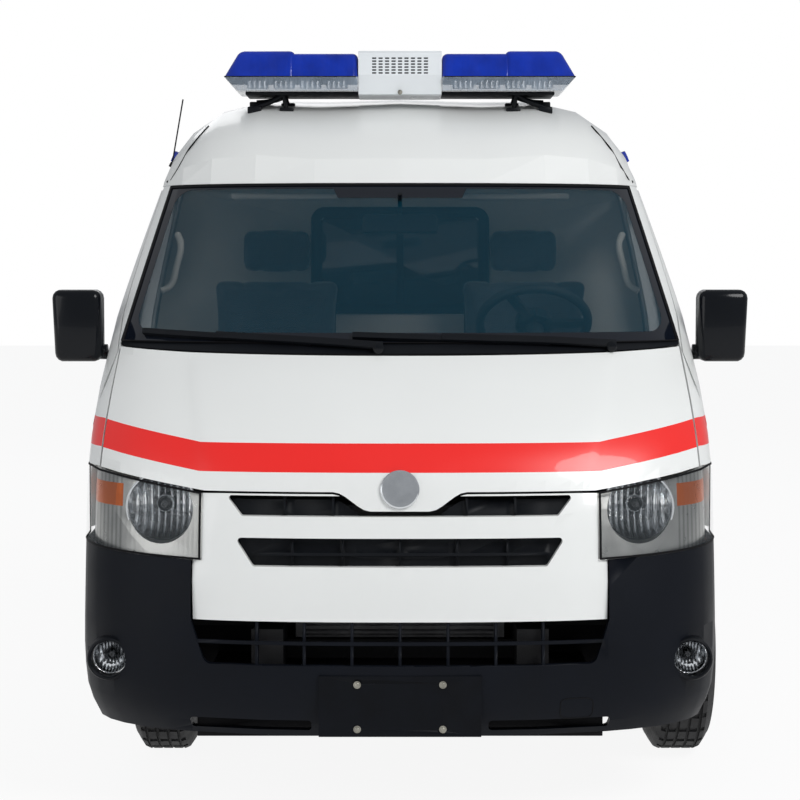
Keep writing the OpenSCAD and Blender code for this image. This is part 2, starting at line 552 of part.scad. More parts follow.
module plate_holes(r) for (x = [-plate_dx / 2, plate_dx / 2]) for (z = [-plate_dz / 2, plate_dz / 2])
  translate([x, 200 - half_l, plate_z + z]) rotate([90, 0, 0]) cylinder(r = r, h = 400);
module lamp_lenses() color("#dfe6ea") both() {
  translate([fog_x, 190 - half_l, fog_z]) rotate([-90, 0, 0]) cylinder(r = fog_r, h = 60);
  patch(function(i, j) let(z = mix(lamp_base(i), lamp_top(i), j)) [lamp_q(i, z), z],
    steps(8), steps(4), 0, glass_t);
}
module lamp_bowls() color("#c9cdd0") both() {
  translate([lamp_x, 344.5 - half_l, lamp_z]) rotate([90, 0, 0]) rotate_extrude() polygon([
    [0, 0], [70, 0], [98, 70], [98, 105], [93, 105], [92, 72], [64, 8], [0, 8]]);
  translate([lamp_x, 344.5 - half_l, lamp_z]) rotate([90, 0, 0]) cylinder(r = 16, h = 40);
}
// Shares of the rear corner at the columns of the walls, and the row of places over the rear bumper.
corner_cols = [0.16, 0.32, 0.48, 0.64, 0.82, 1];
function rear_row(z) = let(a = q_rear(gate_half + gap, z))
  concat([for (k = corner_cols) mix(2, a, k)], [for (k = [0.25, 0.5, 0.75, 1]) mix(a, 3, k)]);
module rear_bumper() color("#16191d") patch(
  function(i, j) let(z = wall_low(j), row = rear_row(z), n = len(row) - 1, k = round(i * 2 * n))
    [k <= n ? row[k] : -row[2 * n - k], z],
  steps(2 * len(rear_row(sill)) - 2), [0.12, 0.25, 0.5, 0.62], -rear_t, -0.8);
function wall_low(j) = mix(sill, door_low - gap, j);
function wall_high(j) = mix(door_low - gap, eave - seam, j);
module tail_lamps() color("#a01818") both() patch(
  function(i, j) let(z = wall_high(j)) [mix(2, q_rear(gate_half + gap, z), i), z],
  [0.48, 0.64, 0.82, 0.95], [0.1, 0.2, 0.3, 0.4, 0.5], -14, -0.8);

// Doors
module door_shape() difference() {
  patch(function(i, j) let(z = mix(door_low, door_top, j), a = lookup(z, door_edge), q0 = q_side(a, z),
      q1 = q_side(door_rear, z)) [mix(q0, q1, i), z],
    [0, 0.15, 0.3, 0.5, 0.7, 0.85, 1], door_rows, 0, wall - 4, 0.02, 0.012);
  along_x(500, 1200, door_window(0));
}
door_rows = [0, 0.15, 0.3, 0.4, 0.5, 0.6, 0.65, 0.7, 0.8, 0.9, 1];
function door_window(e) = rounded(grow([
  [830 - half_l, window_low], [door_rear - 60 - half_l, belt], [door_rear - 60 - half_l, window_top + 30],
  [1335 - half_l, window_top + 30]], e), 40 + e);
module door_left() color("white") door_shape();
module door_right() color("white") mirror([1, 0, 0]) door_shape();
module door_pane() intersection() {
  patch(function(i, j) let(z = mix(belt - 20, window_top + 50, j)) [q_side(mix(760, door_rear, i), z), z],
    steps(5), steps(6), 4, 4 + glass_t);
  along_x(500, 1200, door_window(-seam));
}
module glass_left() color("#1c3038") door_pane();
module glass_right() color("#1c3038") mirror([1, 0, 0]) door_pane();
module mirror_shape() {
  hull() for (z = [1308, 1480]) for (x = [25, z > 1400 ? 125 : 118]) for (s = [770, 830])
    translate([body_half + x, s - half_l, z]) sphere(r = 27, $fn = 14);
  hull() {
    translate([body_half + 35, 800 - half_l, 1310]) sphere(r = 22, $fn = 10);
    translate([half(1310) + 10, 812 - half_l, 1310]) rotate([0, 90, 0]) cylinder(r = 24, h = 6, $fn = 12);
  }
  translate([mirror_foot, 812 - half_l, 1310]) rotate([0, 90, 0]) cylinder(r = 24, h = 30);
}
mirror_foot = outline(q_side(812, 1310), 1310)[0] + 2;
module mirror_left() color("#16191d") mirror_shape();
module mirror_right() color("#16191d") mirror([1, 0, 0]) mirror_shape();

// Rear face: places by width and height.
function rear_at(x, z) =
  [x, back(z) - rear_corner * (1 - spow(1 - spow(abs(x) / half(z), corner_pow), 1 / corner_pow)) - half_l, z];
function rear_skin(x, z, d) =
  let(n = unit(cross(rear_at(x - 2, z) - rear_at(x + 2, z), rear_at(x, z + 2) - rear_at(x, z - 2))))
  rear_at(x, z) - n * d;
function rear_grid(w, z0, z1, nx, nz, d) =
  [for (z = [0:nz]) [for (x = [0:nx]) rear_skin(mix(w, -w, x / nx), mix(z0, z1, z / nz), d)]];
module tailgate() color("white") difference() {
  sheet(rear_grid(gate_half, gate_low, gate_top, 14, 10, 0),
    rear_grid(gate_half - 14, gate_low + 14, gate_top - 14, 14, 10, wall - 6));
  along_y(length - 400, length + 100, gate_window(0));
}
function gate_window(e) = rounded(grow([[115 - gate_half, belt + 20], [gate_half - 115, belt + 20],
  [gate_half - 175, window_top + 5], [175 - gate_half, window_top + 5]], e), 60 + e);
module gate_glass() color("#1c3038") intersection() {
  sheet(rear_grid(gate_half - 85, belt, window_top + 35, 14, 6, 4),
    rear_grid(gate_half - 85, belt, window_top + 35, 14, 6, 4 + glass_t));
  along_y(length - 400, length + 100, gate_window(-seam));
}

// Roof gear
// A lens of the light bar over a range of widths; its ends and its sides fall in from z0 to z1.
module bar_lens(x0, x1, z0, z1, end0, end1, side0, side1) hull() for (g = [-1, 1]) {
  for (x = [x0, x1 - end0]) bar_post(x, g * (bar_d / 2 - side0), z0);
  for (x = [x0, x1 - end1]) bar_post(x, g * (bar_d / 2 - side1), z1 - 1);
}
module bar_post(x, s, z)
  translate([x, bar_s + s - half_l, z]) cylinder(r = 12, h = 1, $fn = 8);
bar_mid = bar_low + 58;
bar_in = speaker_len / 2 + 13;
bar_out = bar_len / 2 - 12;
dome_in = bar_len * 0.31;
module bar_clear() color("#b9c4cf") both()
  bar_lens(bar_in, bar_out, bar_low + 12, bar_mid - seam, 38, 0, 26, 2);
module bar_blue() color("#0b2fa0") both() {
  beacon();
  bar_lens(bar_in, dome_in + 20, bar_mid, bar_top - 9, 0, 0, 3, 34);
  bar_lens(dome_in, bar_out, bar_mid, bar_top, 0, 54, 2, 40);
}
module bar_speaker() color("#e4e8ea") difference() {
  along_x(-speaker_len / 2, speaker_len / 2, placed(bar_s - bar_d / 2, [[26, bar_low], [2, bar_mid + 6],
    [6, bar_top - 10], [16, bar_top - 2], [bar_d - 16, bar_top - 2], [bar_d - 6, bar_top - 10],
    [bar_d - 2, bar_mid + 6], [bar_d - 26, bar_low]]));
  for (i = [-4:4]) for (z = [10:10:60])
    box(i * 22 - 7, i * 22 + 7, bar_s - bar_d / 2 - 5, bar_s - bar_d / 2 + 14, bar_mid + z, bar_mid + z + 5);
}
module bar_base() color("#111214") both() {
  box(speaker_len / 2 + seam, bar_len / 2 - 70, bar_s - bar_d / 2 + 40, bar_s + bar_d / 2 - 40,
    bar_low, bar_low + 12 - seam);
  foot(bar_len * 0.37, 70);
}
module foot(x, w) {
  low = [for (j = steps(4)) [for (i = steps(8))
    roof_skin(foot_a(mix(x - w, x + w, i)), mix(bar_s - 100, bar_s + 20, j), -0.6)]];
  sheet([for (r = low) [for (p = r) [p[0], p[1], bar_low + 4]]], low);
}
function foot_a(x) = asin(min(1, spow(x / half(eave), roof_pow / 2))) / 90;
module beacon()
  sheet(roof_grid(function(i, j) [mix(0.8, 0.86, i), mix(1640, 1700, j)], steps(3), steps(3), -32),
    roof_grid(function(i, j) [mix(0.79, 0.87, i), mix(1630, 1710, j)], steps(3), steps(3), -0.5));
module antenna() color("#3a3b3d") {
  p = roof_skin(-0.82, 1260, -1);
  translate(p) rotate([0, 10, 0]) cylinder(r = 2.5, h = 230);
  translate(p) rotate([0, -60, 0]) cylinder(r = 9, h = 8);
}

// Cab
module dashboard() color("#23282c") {
  translate(wheel_hub) rotate([-wheel_lean, 0, 0]) {
    translate([0, 0, -190]) cylinder(r = 32, h = 190 - 17 - 5);
    translate([0, 0, -60]) cylinder(r = 14, h = 70);
  }
  along_x(-body_half + 160, body_half - 160, placed(0, [[730.5, 1000], [930, 1010], [990, 1180], [970, 1255],
    [940, 1280], [890, 1288], [730.5, 1285]]));
}
module seats() color("#31363b") both() translate([body_half - 510, 0, 0]) {
  along_x(-240, 240, rounded(placed(part_s, [[-460, 960], [-30, 930], [-40, 1050], [-470, 1080]]), 40));
  along_x(-235, 235, rounded(placed(part_s, [[-200, 1040], [-55, 1040], [-30, 1530], [-100, 1550]]), 30));
  along_x(-120, 120, rounded(placed(part_s, [[-130, 1560], [-25, 1560], [-30, 1715], [-110, 1715]]), 30));
  along_x(-60, 60, placed(part_s, [[-90, 1540], [-50, 1540], [-50, 1570], [-90, 1570]]));
  box(-200, 200, part_s - 400, part_s - 80, cab_top + seam, 1000);
}
function section(s, d) = concat(
  [for (z = [floor_top + seam:100:eave]) [half(z) - wall - d, z]],
  [for (a = [80:-10:-80]) let(e = 2 / roof_pow, g = sign(a) < 0 ? -1 : 1)
    [g * (half(eave) - roof_wall - d - 12) * spow(sin(abs(a)), e),
     eave + (roof_rise * lookup(s, top_line) - roof_wall - d) * spow(cos(a), e)]],
  [for (z = [eave:-100:floor_top + seam]) [-half(z) + wall + d, z]]);
module partition() color("#c9c6bd") difference() {
  along_y(part_s + seam, part_s + 36, section(1600, 6));
  along_y(part_s - 50, part_s + 100, rounded([[-285, 1440], [285, 1440], [285, 1757], [-285, 1757]], 40));
  box(-2000, 2000, part_s - 50, part_s + 100, 0, floor_top + seam);
}
module steering_wheel() color("#1b1d1f") translate(wheel_hub) rotate([-wheel_lean, 0, 0]) {
  rotate_extrude() translate([178, 0]) circle(r = 15);
  difference() {
    cylinder(r = 60, h = 34, center = true);
    translate([0, 0, -40]) cylinder(r = 14 + play, h = 51);
  }
  for (a = [0, 120, 240]) rotate([0, 0, a]) translate([40, -16, -8]) cube([138, 32, 16]);
}
wheel_hub = [body_half - 500, 1075 - half_l, 1393];
wheel_lean = 40;
// Wheels
module tyre(x, s) color("#17181a")
  translate([x, s - half_l, axle_z]) rotate([0, 90, 0]) rotate_extrude($fn = 96) polygon([
    [rim_r, -tyre_w * 0.4], [rim_r + 20, -tyre_w * 0.46], [tyre_r * 0.8, -tyre_w / 2],
    [tyre_r * 0.93, -tyre_w * 0.47], [tyre_r * 0.985, -tyre_w * 0.4], [tyre_r, -tyre_w * 0.3],
    [tyre_r, tyre_w * 0.3], [tyre_r * 0.985, tyre_w * 0.4], [tyre_r * 0.93, tyre_w * 0.47],
    [tyre_r * 0.8, tyre_w / 2], [rim_r + 20, tyre_w * 0.46], [rim_r, tyre_w * 0.4]]);
module rim(x, s) color("#b4b8bb")
  translate([x, s - half_l, axle_z]) rotate([0, x > 0 ? 90 : -90, 0]) difference() {
  rotate_extrude($fn = 96) polygon([[stub_r + play, 20], [70, 20], [78, 34], [120, 42], [150, 30],
    [rim_r - 16, 34], [rim_r - 16, -tyre_w * 0.4], [rim_r - play, -tyre_w * 0.4],
    [rim_r - play, tyre_w * 0.4], [rim_r - 12, tyre_w * 0.4], [rim_r - 14, 48],
    [150, 44], [120, 56], [78, 48], [60, 40], [stub_r + play, 40]]);
  for (a = [0:45:315]) rotate([0, 0, a]) translate([146, 0, 0]) cylinder(r = 14, h = 100);
}
module knuckle() color("#3d3f42") {
  translate([king_x, front_axle - half_l, axle_z - 145]) cylinder(r = 13, h = 290);
  box(king_x - 26, king_x + 26, front_axle - 40, front_axle + 40, axle_z - 104, axle_z + 104);
  round_x(king_x, wheel_x + 46, front_axle, axle_z, stub_r);
  round_x(wheel_x - 40, wheel_x - 20, front_axle, axle_z, 130);
}
module knuckle_left() knuckle();
module knuckle_right() mirror([1, 0, 0]) knuckle();
module tyre_fl() tyre(wheel_x, front_axle);
module tyre_fr() tyre(-wheel_x, front_axle);
module tyre_rl() tyre(wheel_x, rear_axle_s);
module tyre_rr() tyre(-wheel_x, rear_axle_s);
module rim_fl() rim(wheel_x, front_axle);
module rim_fr() rim(-wheel_x, front_axle);
module rim_rl() rim(wheel_x, rear_axle_s);
module rim_rr() rim(-wheel_x, rear_axle_s);

floor_pan();
frame_rails();
radiator();
engine();
suspension();
rear_axle();
fuel_tank();
exhaust();
side_left();
side_right();
sliding_door();
side_glass();
roof();
pillars();
windscreen();
cowl();
wipers();
bonnet();
fascia();
grille();
bumper_front();
plate();
lamp_lenses();
lamp_bowls();
rear_bumper();
tail_lamps();
door_left();
door_right();
glass_left();
glass_right();
mirror_left();
mirror_right();
tailgate();
gate_glass();
bar_base();
bar_blue();
bar_clear();
bar_speaker();
antenna();
dashboard();
seats();
partition();
steering_wheel();
knuckle_left();
knuckle_right();
tyre_fl();
tyre_fr();
tyre_rl();
tyre_rr();
rim_fl();
rim_fr();
rim_rl();
rim_rr();
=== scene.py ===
"""Looks of a high-roof van ambulance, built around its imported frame.

Metres, front towards -Y, +X is the vehicle's left side, the ground is at Z = 0.
"""

import logging
import math
from dataclasses import dataclass, field
from enum import Enum
from typing import Callable, Sequence

import bpy
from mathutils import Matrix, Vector
from mathutils.bvhtree import BVHTree


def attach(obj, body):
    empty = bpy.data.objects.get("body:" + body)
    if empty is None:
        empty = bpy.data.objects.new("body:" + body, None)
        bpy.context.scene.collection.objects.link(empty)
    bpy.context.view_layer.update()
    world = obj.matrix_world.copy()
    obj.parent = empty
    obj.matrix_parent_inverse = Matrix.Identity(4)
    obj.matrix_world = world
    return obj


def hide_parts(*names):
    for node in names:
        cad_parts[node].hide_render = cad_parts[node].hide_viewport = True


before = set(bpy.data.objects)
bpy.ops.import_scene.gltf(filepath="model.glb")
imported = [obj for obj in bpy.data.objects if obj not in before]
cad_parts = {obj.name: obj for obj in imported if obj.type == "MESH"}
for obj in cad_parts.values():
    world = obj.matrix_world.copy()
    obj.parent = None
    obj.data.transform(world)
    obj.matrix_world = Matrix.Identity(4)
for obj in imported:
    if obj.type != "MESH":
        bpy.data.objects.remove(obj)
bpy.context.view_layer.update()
NOSE = 2.6752  # from the middle of the length to the nose
SHOULDER = (0.34, 0.83)  # the half widths between which the roof's shoulders rise
SHOULDER_FOOT = 1.87  # the height at which they set in
SHOULDER_BLEND = 0.08  # the height over which they set in
SHOULDER_RISE = 0.042  # the most that they rise
MERGE = 0.00002  # points closer than this are one
FAR = 4.0  # where rays from ahead and behind start
BESIDE = 2.0  # where rays from the sides start
ABOVE = 3.0  # where rays from above start
LOOP = 32  # how many steps go round a seam
LOG = logging.getLogger("ambulance")
SKINS: dict[str, BVHTree] = {}

Point = Sequence[float]
Profile = Sequence[tuple[float, float]]
FaceTest = Callable[[bpy.types.MeshPolygon], bool]
Socket = bpy.types.NodeSocket
Object = bpy.types.Object


class Side(Enum):
    """Left and right of the vehicle, by the sign of X."""

    LEFT = 1
    RIGHT = -1

    @property
    def word(self) -> str:
        """The side's name in lower case."""
        return self.name.lower()


class Axis(Enum):
    """Directions that turned pieces are built along."""

    X = (1, 0, 0)
    Y = (0, 1, 0)
    Z = (0, 0, 1)
    FRONT = (0, -1, 0)
    LEFTWARD = (-1, 0, 0)


# Modelling bench


def at(x: float, s: float, z: float) -> tuple[float, float, float]:
    """A point by its X, its setback behind the nose and its height."""
    return x, s - NOSE, z


def clear_selection() -> None:
    """Leaves edit mode and deselects everything."""
    if bpy.context.mode != "OBJECT":
        bpy.ops.object.mode_set(mode="OBJECT")
    bpy.ops.object.select_all(action="DESELECT")


def take(obj: Object) -> Object:
    """Selects one object alone and makes it active.

    Args:
        obj: The object to work on.

    Returns:
        The same object.
    """
    clear_selection()
    obj.select_set(True)
    bpy.context.view_layer.objects.active = obj
    return obj


def newest(name: str) -> Object:
    """Names the object that an operator has just added.

    Args:
        name: The piece's name.

    Returns:
        The active object, with its mesh named too.
    """
    obj = bpy.context.view_layer.objects.active
    obj.name = name
    obj.data.name = name
    return obj


def settle(obj: Object) -> Object:
    """Moves an object's place, turn and scale into its mesh."""
    take(obj)
    bpy.ops.object.transform_apply(location=True, rotation=True, scale=True)
    return obj


def edit_all(obj: Object) -> None:
    """Opens edit mode with everything selected."""
    take(obj)
    bpy.ops.object.mode_set(mode="EDIT")
    bpy.ops.mesh.select_all(action="SELECT")


def leave_edit() -> None:
    """Goes back to object mode."""
    bpy.ops.object.mode_set(mode="OBJECT")


def pick_faces(obj: Object, wanted: FaceTest) -> None:
    """Opens edit mode with the wanted faces selected.

    Args:
        obj: The mesh object.
        wanted: Says whether a face is selected.
    """
    edit_all(obj)
    bpy.ops.mesh.select_mode(type="FACE")
    bpy.ops.mesh.select_all(action="DESELECT")
    leave_edit()
    for face in obj.data.polygons:
        face.select = wanted(face)
    bpy.ops.object.mode_set(mode="EDIT")


def use_modifier(obj: Object, kind: str, **settings: object) -> Object:
    """Adds a modifier, sets it and applies it.

    Args:
        obj: The mesh object.
        kind: The modifier's type.
        **settings: The modifier's own values.

    Returns:
        The same object.
    """
    take(obj)
    modifier = obj.modifiers.new(kind.lower(), kind)
    for key, value in settings.items():
        setattr(modifier, key, value)
    bpy.ops.object.modifier_apply(modifier=modifier.name)
    return obj


def thicken(obj: Object, thick: float, offset: float = -1.0) -> Object:
    """Gives a sheet a wall, towards one side or across it."""
    return use_modifier(obj, "SOLIDIFY", thickness=thick, offset=offset)


def eased(obj: Object, width: float, degrees: float, segments: int = 2) -> Object:
    """Rounds the edges that are sharper than an angle.

    Args:
        obj: The mesh object.
        width: The width of the rounding.
        degrees: The angle.
        segments: How many faces round an edge has.

    Returns:
        The same object.
    """
    return use_modifier(obj, "BEVEL", width=width, segments=segments, limit_method="ANGLE",
                        angle_limit=math.radians(degrees))


def smooth(obj: Object, degrees: float = 30) -> Object:
    """Shades an object smooth where its faces meet at less than an angle."""
    take(obj)
    bpy.ops.object.shade_smooth_by_angle(angle=math.radians(degrees))
    return obj


def block(name: str, low: Point, high: Point, bevel: float = 0.003, segments: int = 2) -> Object:
    """A box with rounded edges between two corners.

    Args:
        name: The piece's name.
        low: Its lowest corner.
        high: Its highest corner.
        bevel: The radius of its edges.
        segments: How many faces round an edge has.

    Returns:
        The new object.
    """
    clear_selection()
    middle = [(a + b) / 2 for a, b in zip(low, high)]
    bpy.ops.mesh.primitive_cube_add(size=1, location=middle)
    obj = newest(name)
    obj.scale = [b - a for a, b in zip(low, high)]
    settle(obj)
    if bevel:
        edit_all(obj)
        bpy.ops.mesh.bevel(offset=bevel, segments=segments, affect="EDGES")
        leave_edit()
    return smooth(obj)


def turned(name: str, profile: Profile, place: Point, axis: Axis | Vector = Axis.Z, sides: int = 48,
           closed: bool = True) -> Object:
    """A turned piece, drawn up ring by ring from a circle.

    Args:
        name: The piece's name.
        profile: Radius and height of each ring.
        place: Where the first ring's middle lies.
        axis: The direction of growing height, as an axis or a vector.
        sides: How many sides a ring has.
        closed: Whether the two ends get faces.

    Returns:
        The new object.
    """
    clear_selection()
    radius, height = profile[0]
    bpy.ops.mesh.primitive_circle_add(vertices=sides, radius=radius, enter_editmode=True,
                                      fill_type="NGON" if closed else "NOTHING")
    obj = newest(name)
    if closed:
        bpy.ops.mesh.flip_normals()
        bpy.ops.mesh.select_mode(type="EDGE")
    for wide, high in profile[1:]:
        bpy.ops.mesh.extrude_edges_move(TRANSFORM_OT_translate={"value": (0, 0, high - height)})
        bpy.ops.transform.resize(value=(wide / radius, wide / radius, 1), center_override=(0, 0, 0))
        radius, height = wide, high
    if closed:
        bpy.ops.mesh.edge_face_add()
    bpy.ops.mesh.select_all(action="SELECT")
    bpy.ops.mesh.normals_make_consistent(inside=False)
    leave_edit()
    obj.rotation_mode = "QUATERNION"
    along = Vector(axis.value) if isinstance(axis, Axis) else axis
    obj.rotation_quaternion = along.to_track_quat("Z", "Y")
    obj.location = place
    return smooth(settle(obj))


def swept(name: str, points: Sequence[Point], radius: float, sides: int = 4) -> Object:
    """A round rod along a smooth path.

    Args:
        name: The piece's name.
        points: The path's points.
        radius: The rod's radius.
        sides: The resolution round the rod.

    Returns:
        The new object, as a mesh.
    """
    clear_selection()
    bpy.ops.curve.primitive_nurbs_path_add()
    obj = newest(name)
    curve = obj.data
    curve.splines.clear()
    spline = curve.splines.new("BEZIER")
    spline.bezier_points.add(len(points) - 1)
    for knot, point in zip(spline.bezier_points, points):
        knot.co = point
        knot.handle_left_type = knot.handle_right_type = "AUTO"
    curve.bevel_depth = radius
    curve.bevel_resolution = sides
    curve.resolution_u = 8
    curve.use_fill_caps = True
    obj.location = (0, 0, 0)
    take(obj)
    bpy.ops.object.convert(target="MESH")
    return smooth(newest(name), 50)


def plate(name: str, low: Point, high: Point, corner: float, thick: float, place: float,
          hole: float = 0.0, bevel: float = 0.0015) -> Object:
    """An upright plate or ring with round corners that faces the front.

    Args:
        name: The piece's name.
        low: Its lowest X and Z.
        high: Its highest X and Z.
        corner: The radius of its corners.
        thick: Its thickness.
        place: The Y of its front face.
        hole: The width of its rim, where it is a ring.
        bevel: The radius of its edges.

    Returns:
        The new object.
    """
    clear_selection()
    middle = ((low[0] + high[0]) / 2, place, (low[1] + high[1]) / 2)
    bpy.ops.mesh.primitive_plane_add(size=1, location=middle, rotation=(math.pi / 2, 0, 0))
    obj = newest(name)
    obj.scale = (high[0] - low[0], high[1] - low[1], 1)
    settle(obj)
    edit_all(obj)
    bpy.ops.mesh.bevel(offset=corner, segments=6, affect="VERTICES")
    if hole:
        bpy.ops.mesh.select_mode(type="FACE")
        bpy.ops.mesh.select_all(action="SELECT")
        bpy.ops.mesh.inset(thickness=hole)
        bpy.ops.mesh.delete(type="FACE")
    leave_edit()
    thicken(obj, thick)
    if bevel:
        eased(obj, bevel, 50)
    return smooth(obj)


def copy_of(obj: Object, name: str) -> Object:
    """A copy of an object with a mesh of its own.

    Args:
        obj: The object to copy.
        name: The copy's name.

    Returns:
        The copy, with no parent and no pose data.
    """
    clear_selection()
    made = obj.copy()
    made.data = obj.data.copy()
    bpy.context.scene.collection.objects.link(made)
    made.parent = None
    for key in list(made.keys()):
        del made[key]
    made.name = made.data.name = name
    made.hide_render = made.hide_viewport = False
    return made


def panel(node: str, name: str, degrees: float = 30) -> Object:
    """A merged, smooth copy of a CAD node.

    Args:
        node: The node's name.
        name: The copy's name.
        degrees: The angle below which edges are smooth.

    Returns:
        The copy.
    """
    made = copy_of(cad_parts[node], name)
    edit_all(made)
    bpy.ops.mesh.remove_doubles(threshold=MERGE)
    leave_edit()
    return smooth(made, degrees)


def outer_skin(node: str, name: str, hidden: FaceTest) -> Object:
    """A copy of a CAD node without some faces, in edit mode with the rest selected.

    Args:
        node: The node's name.
        name: The copy's name.
        hidden: Says whether a face is left out.

    Returns:
        The copy.
    """
    made = panel(node, name)
    pick_faces(made, hidden)
    bpy.ops.mesh.delete(type="FACE")
    bpy.ops.mesh.select_all(action="SELECT")
    return made


def edge_ring(node: str, name: str, hidden: FaceTest, width: float) -> Object:
    """A sheet along the edge of a CAD node's outer skin.

    Args:
        node: The node's name.
        name: The sheet's name.
        hidden: Says whether a face isn't on the outer skin.
        width: The sheet's width.

    Returns:
        The sheet.
    """
    ring = outer_skin(node, name, hidden)
    bpy.ops.mesh.inset(thickness=width, use_boundary=True)
    bpy.ops.mesh.delete(type="FACE")
    leave_edit()
    return ring


def joined(objects: Sequence[Object], name: str) -> Object:
    """Joins meshes into one piece.

    Args:
        objects: The meshes.
        name: The piece's name.

    Returns:
        The joined object.
    """
    clear_selection()
    for obj in objects:
        obj.select_set(True)
    bpy.context.view_layer.objects.active = objects[0]
    bpy.ops.object.join()
    return newest(name)


def flipped(obj: Object) -> Object:
    """Moves a mesh to the other side of the vehicle."""
    obj.scale = (-1, 1, 1)
    settle(obj)
    edit_all(obj)
    bpy.ops.mesh.normals_make_consistent(inside=False)
    leave_edit()
    return obj


def rounded_square(power: float) -> list[tuple[float, float]]:
    """Points round a square with soft corners, from -1 to 1 both ways.

    Args:
        power: 1 for a circle, less for a squarer form.

    Returns:
        The points, the first one repeated at the end.
    """
    turns = [2 * math.pi * k / LOOP for k in range(LOOP + 1)]
    pairs = [(math.cos(turn), math.sin(turn)) for turn in turns]
    return [tuple(math.copysign(abs(part) ** power, part) for part in pair) for pair in pairs]


def cut(obj: Object, cutter: Object, operation: str = "DIFFERENCE") -> Object:
    """Cuts one mesh with another and removes the cutter.

    Args:
        obj: The mesh that is cut.
        cutter: The mesh that cuts.
        operation: The boolean operation.

    Returns:
        The cut object.
    """
    use_modifier(obj, "BOOLEAN", object=cutter, operation=operation, solver="EXACT")
    bpy.data.objects.remove(cutter)
    return obj


def skin_hit(node: str, start: Point, towards: Point) -> tuple[Vector, Vector]:
    """Where a ray first meets a CAD node, and which way the surface faces there.

    Args:
        node: The node's name.
        start: Where the ray starts.
        towards: Its direction.

    Returns:
        The point that is hit and the surface's normal.
    """
    if node not in SKINS:
        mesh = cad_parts[node].data
        SKINS[node] = BVHTree.FromPolygons([vertex.co for vertex in mesh.vertices],
                                           [face.vertices for face in mesh.polygons])
    place, normal, _, _ = SKINS[node].ray_cast(Vector(start), Vector(towards).normalized())
    if place is None:
        raise ValueError(f"no point of {node} lies along the ray from {tuple(start)}")
    return place, normal


def roof_lift(spot: Vector) -> float:
    """How far the roof's fuller shoulders lie above its plain arch.

    Args:
        spot: A point on the plain arch.

    Returns:
        The rise in metres.
    """
    across = min(max((abs(spot.x) - SHOULDER[0]) / (SHOULDER[1] - SHOULDER[0]), 0.0), 1.0)
    up = min(max((spot.z - SHOULDER_FOOT) / SHOULDER_BLEND, 0.0), 1.0)
    return SHOULDER_RISE * math.sin(math.pi * across) * up


def skin_point(node: str, start: Point, towards: Point) -> Vector:
    """Where a ray first meets a CAD node."""
    return skin_hit(node, start, towards)[0]


def place_piece(obj: Object, finish: "Finish", body: str = "body", slot: str = "black_plastic",
                *nodes: str) -> Object:
    """Gives a piece its finish and its body, hides the nodes it stands for, and reports it.

    Args:
        obj: The piece.
        finish: Its finish.
        body: The body it rides on.
        slot: The record's material slot; not used.
        *nodes: The CAD nodes it replaces.

    Returns:
        The piece.
    """
    obj.data.materials.clear()
    obj.data.materials.append(finish.material())
    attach(obj, body)
    if nodes:
        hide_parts(*nodes)
    LOG.info("%s: %d faces on %s", obj.name, len(obj.data.polygons), body)
    return obj


def place_pair(piece: Object, finish: "Finish", slot: str, *nodes: str) -> None:
    """Places a left piece on the body, and its mirror image on the right.

    Args:
        piece: The left piece.
        finish: The finish of both.
        slot: The record's material slot.
        *nodes: The CAD nodes that the left piece replaces.
    """
    other = flipped(copy_of(piece, piece.name.replace("left", "right")))
    place_piece(piece, finish, "body", slot, *nodes)
    place_piece(other, finish, "body", slot)


# Finishes


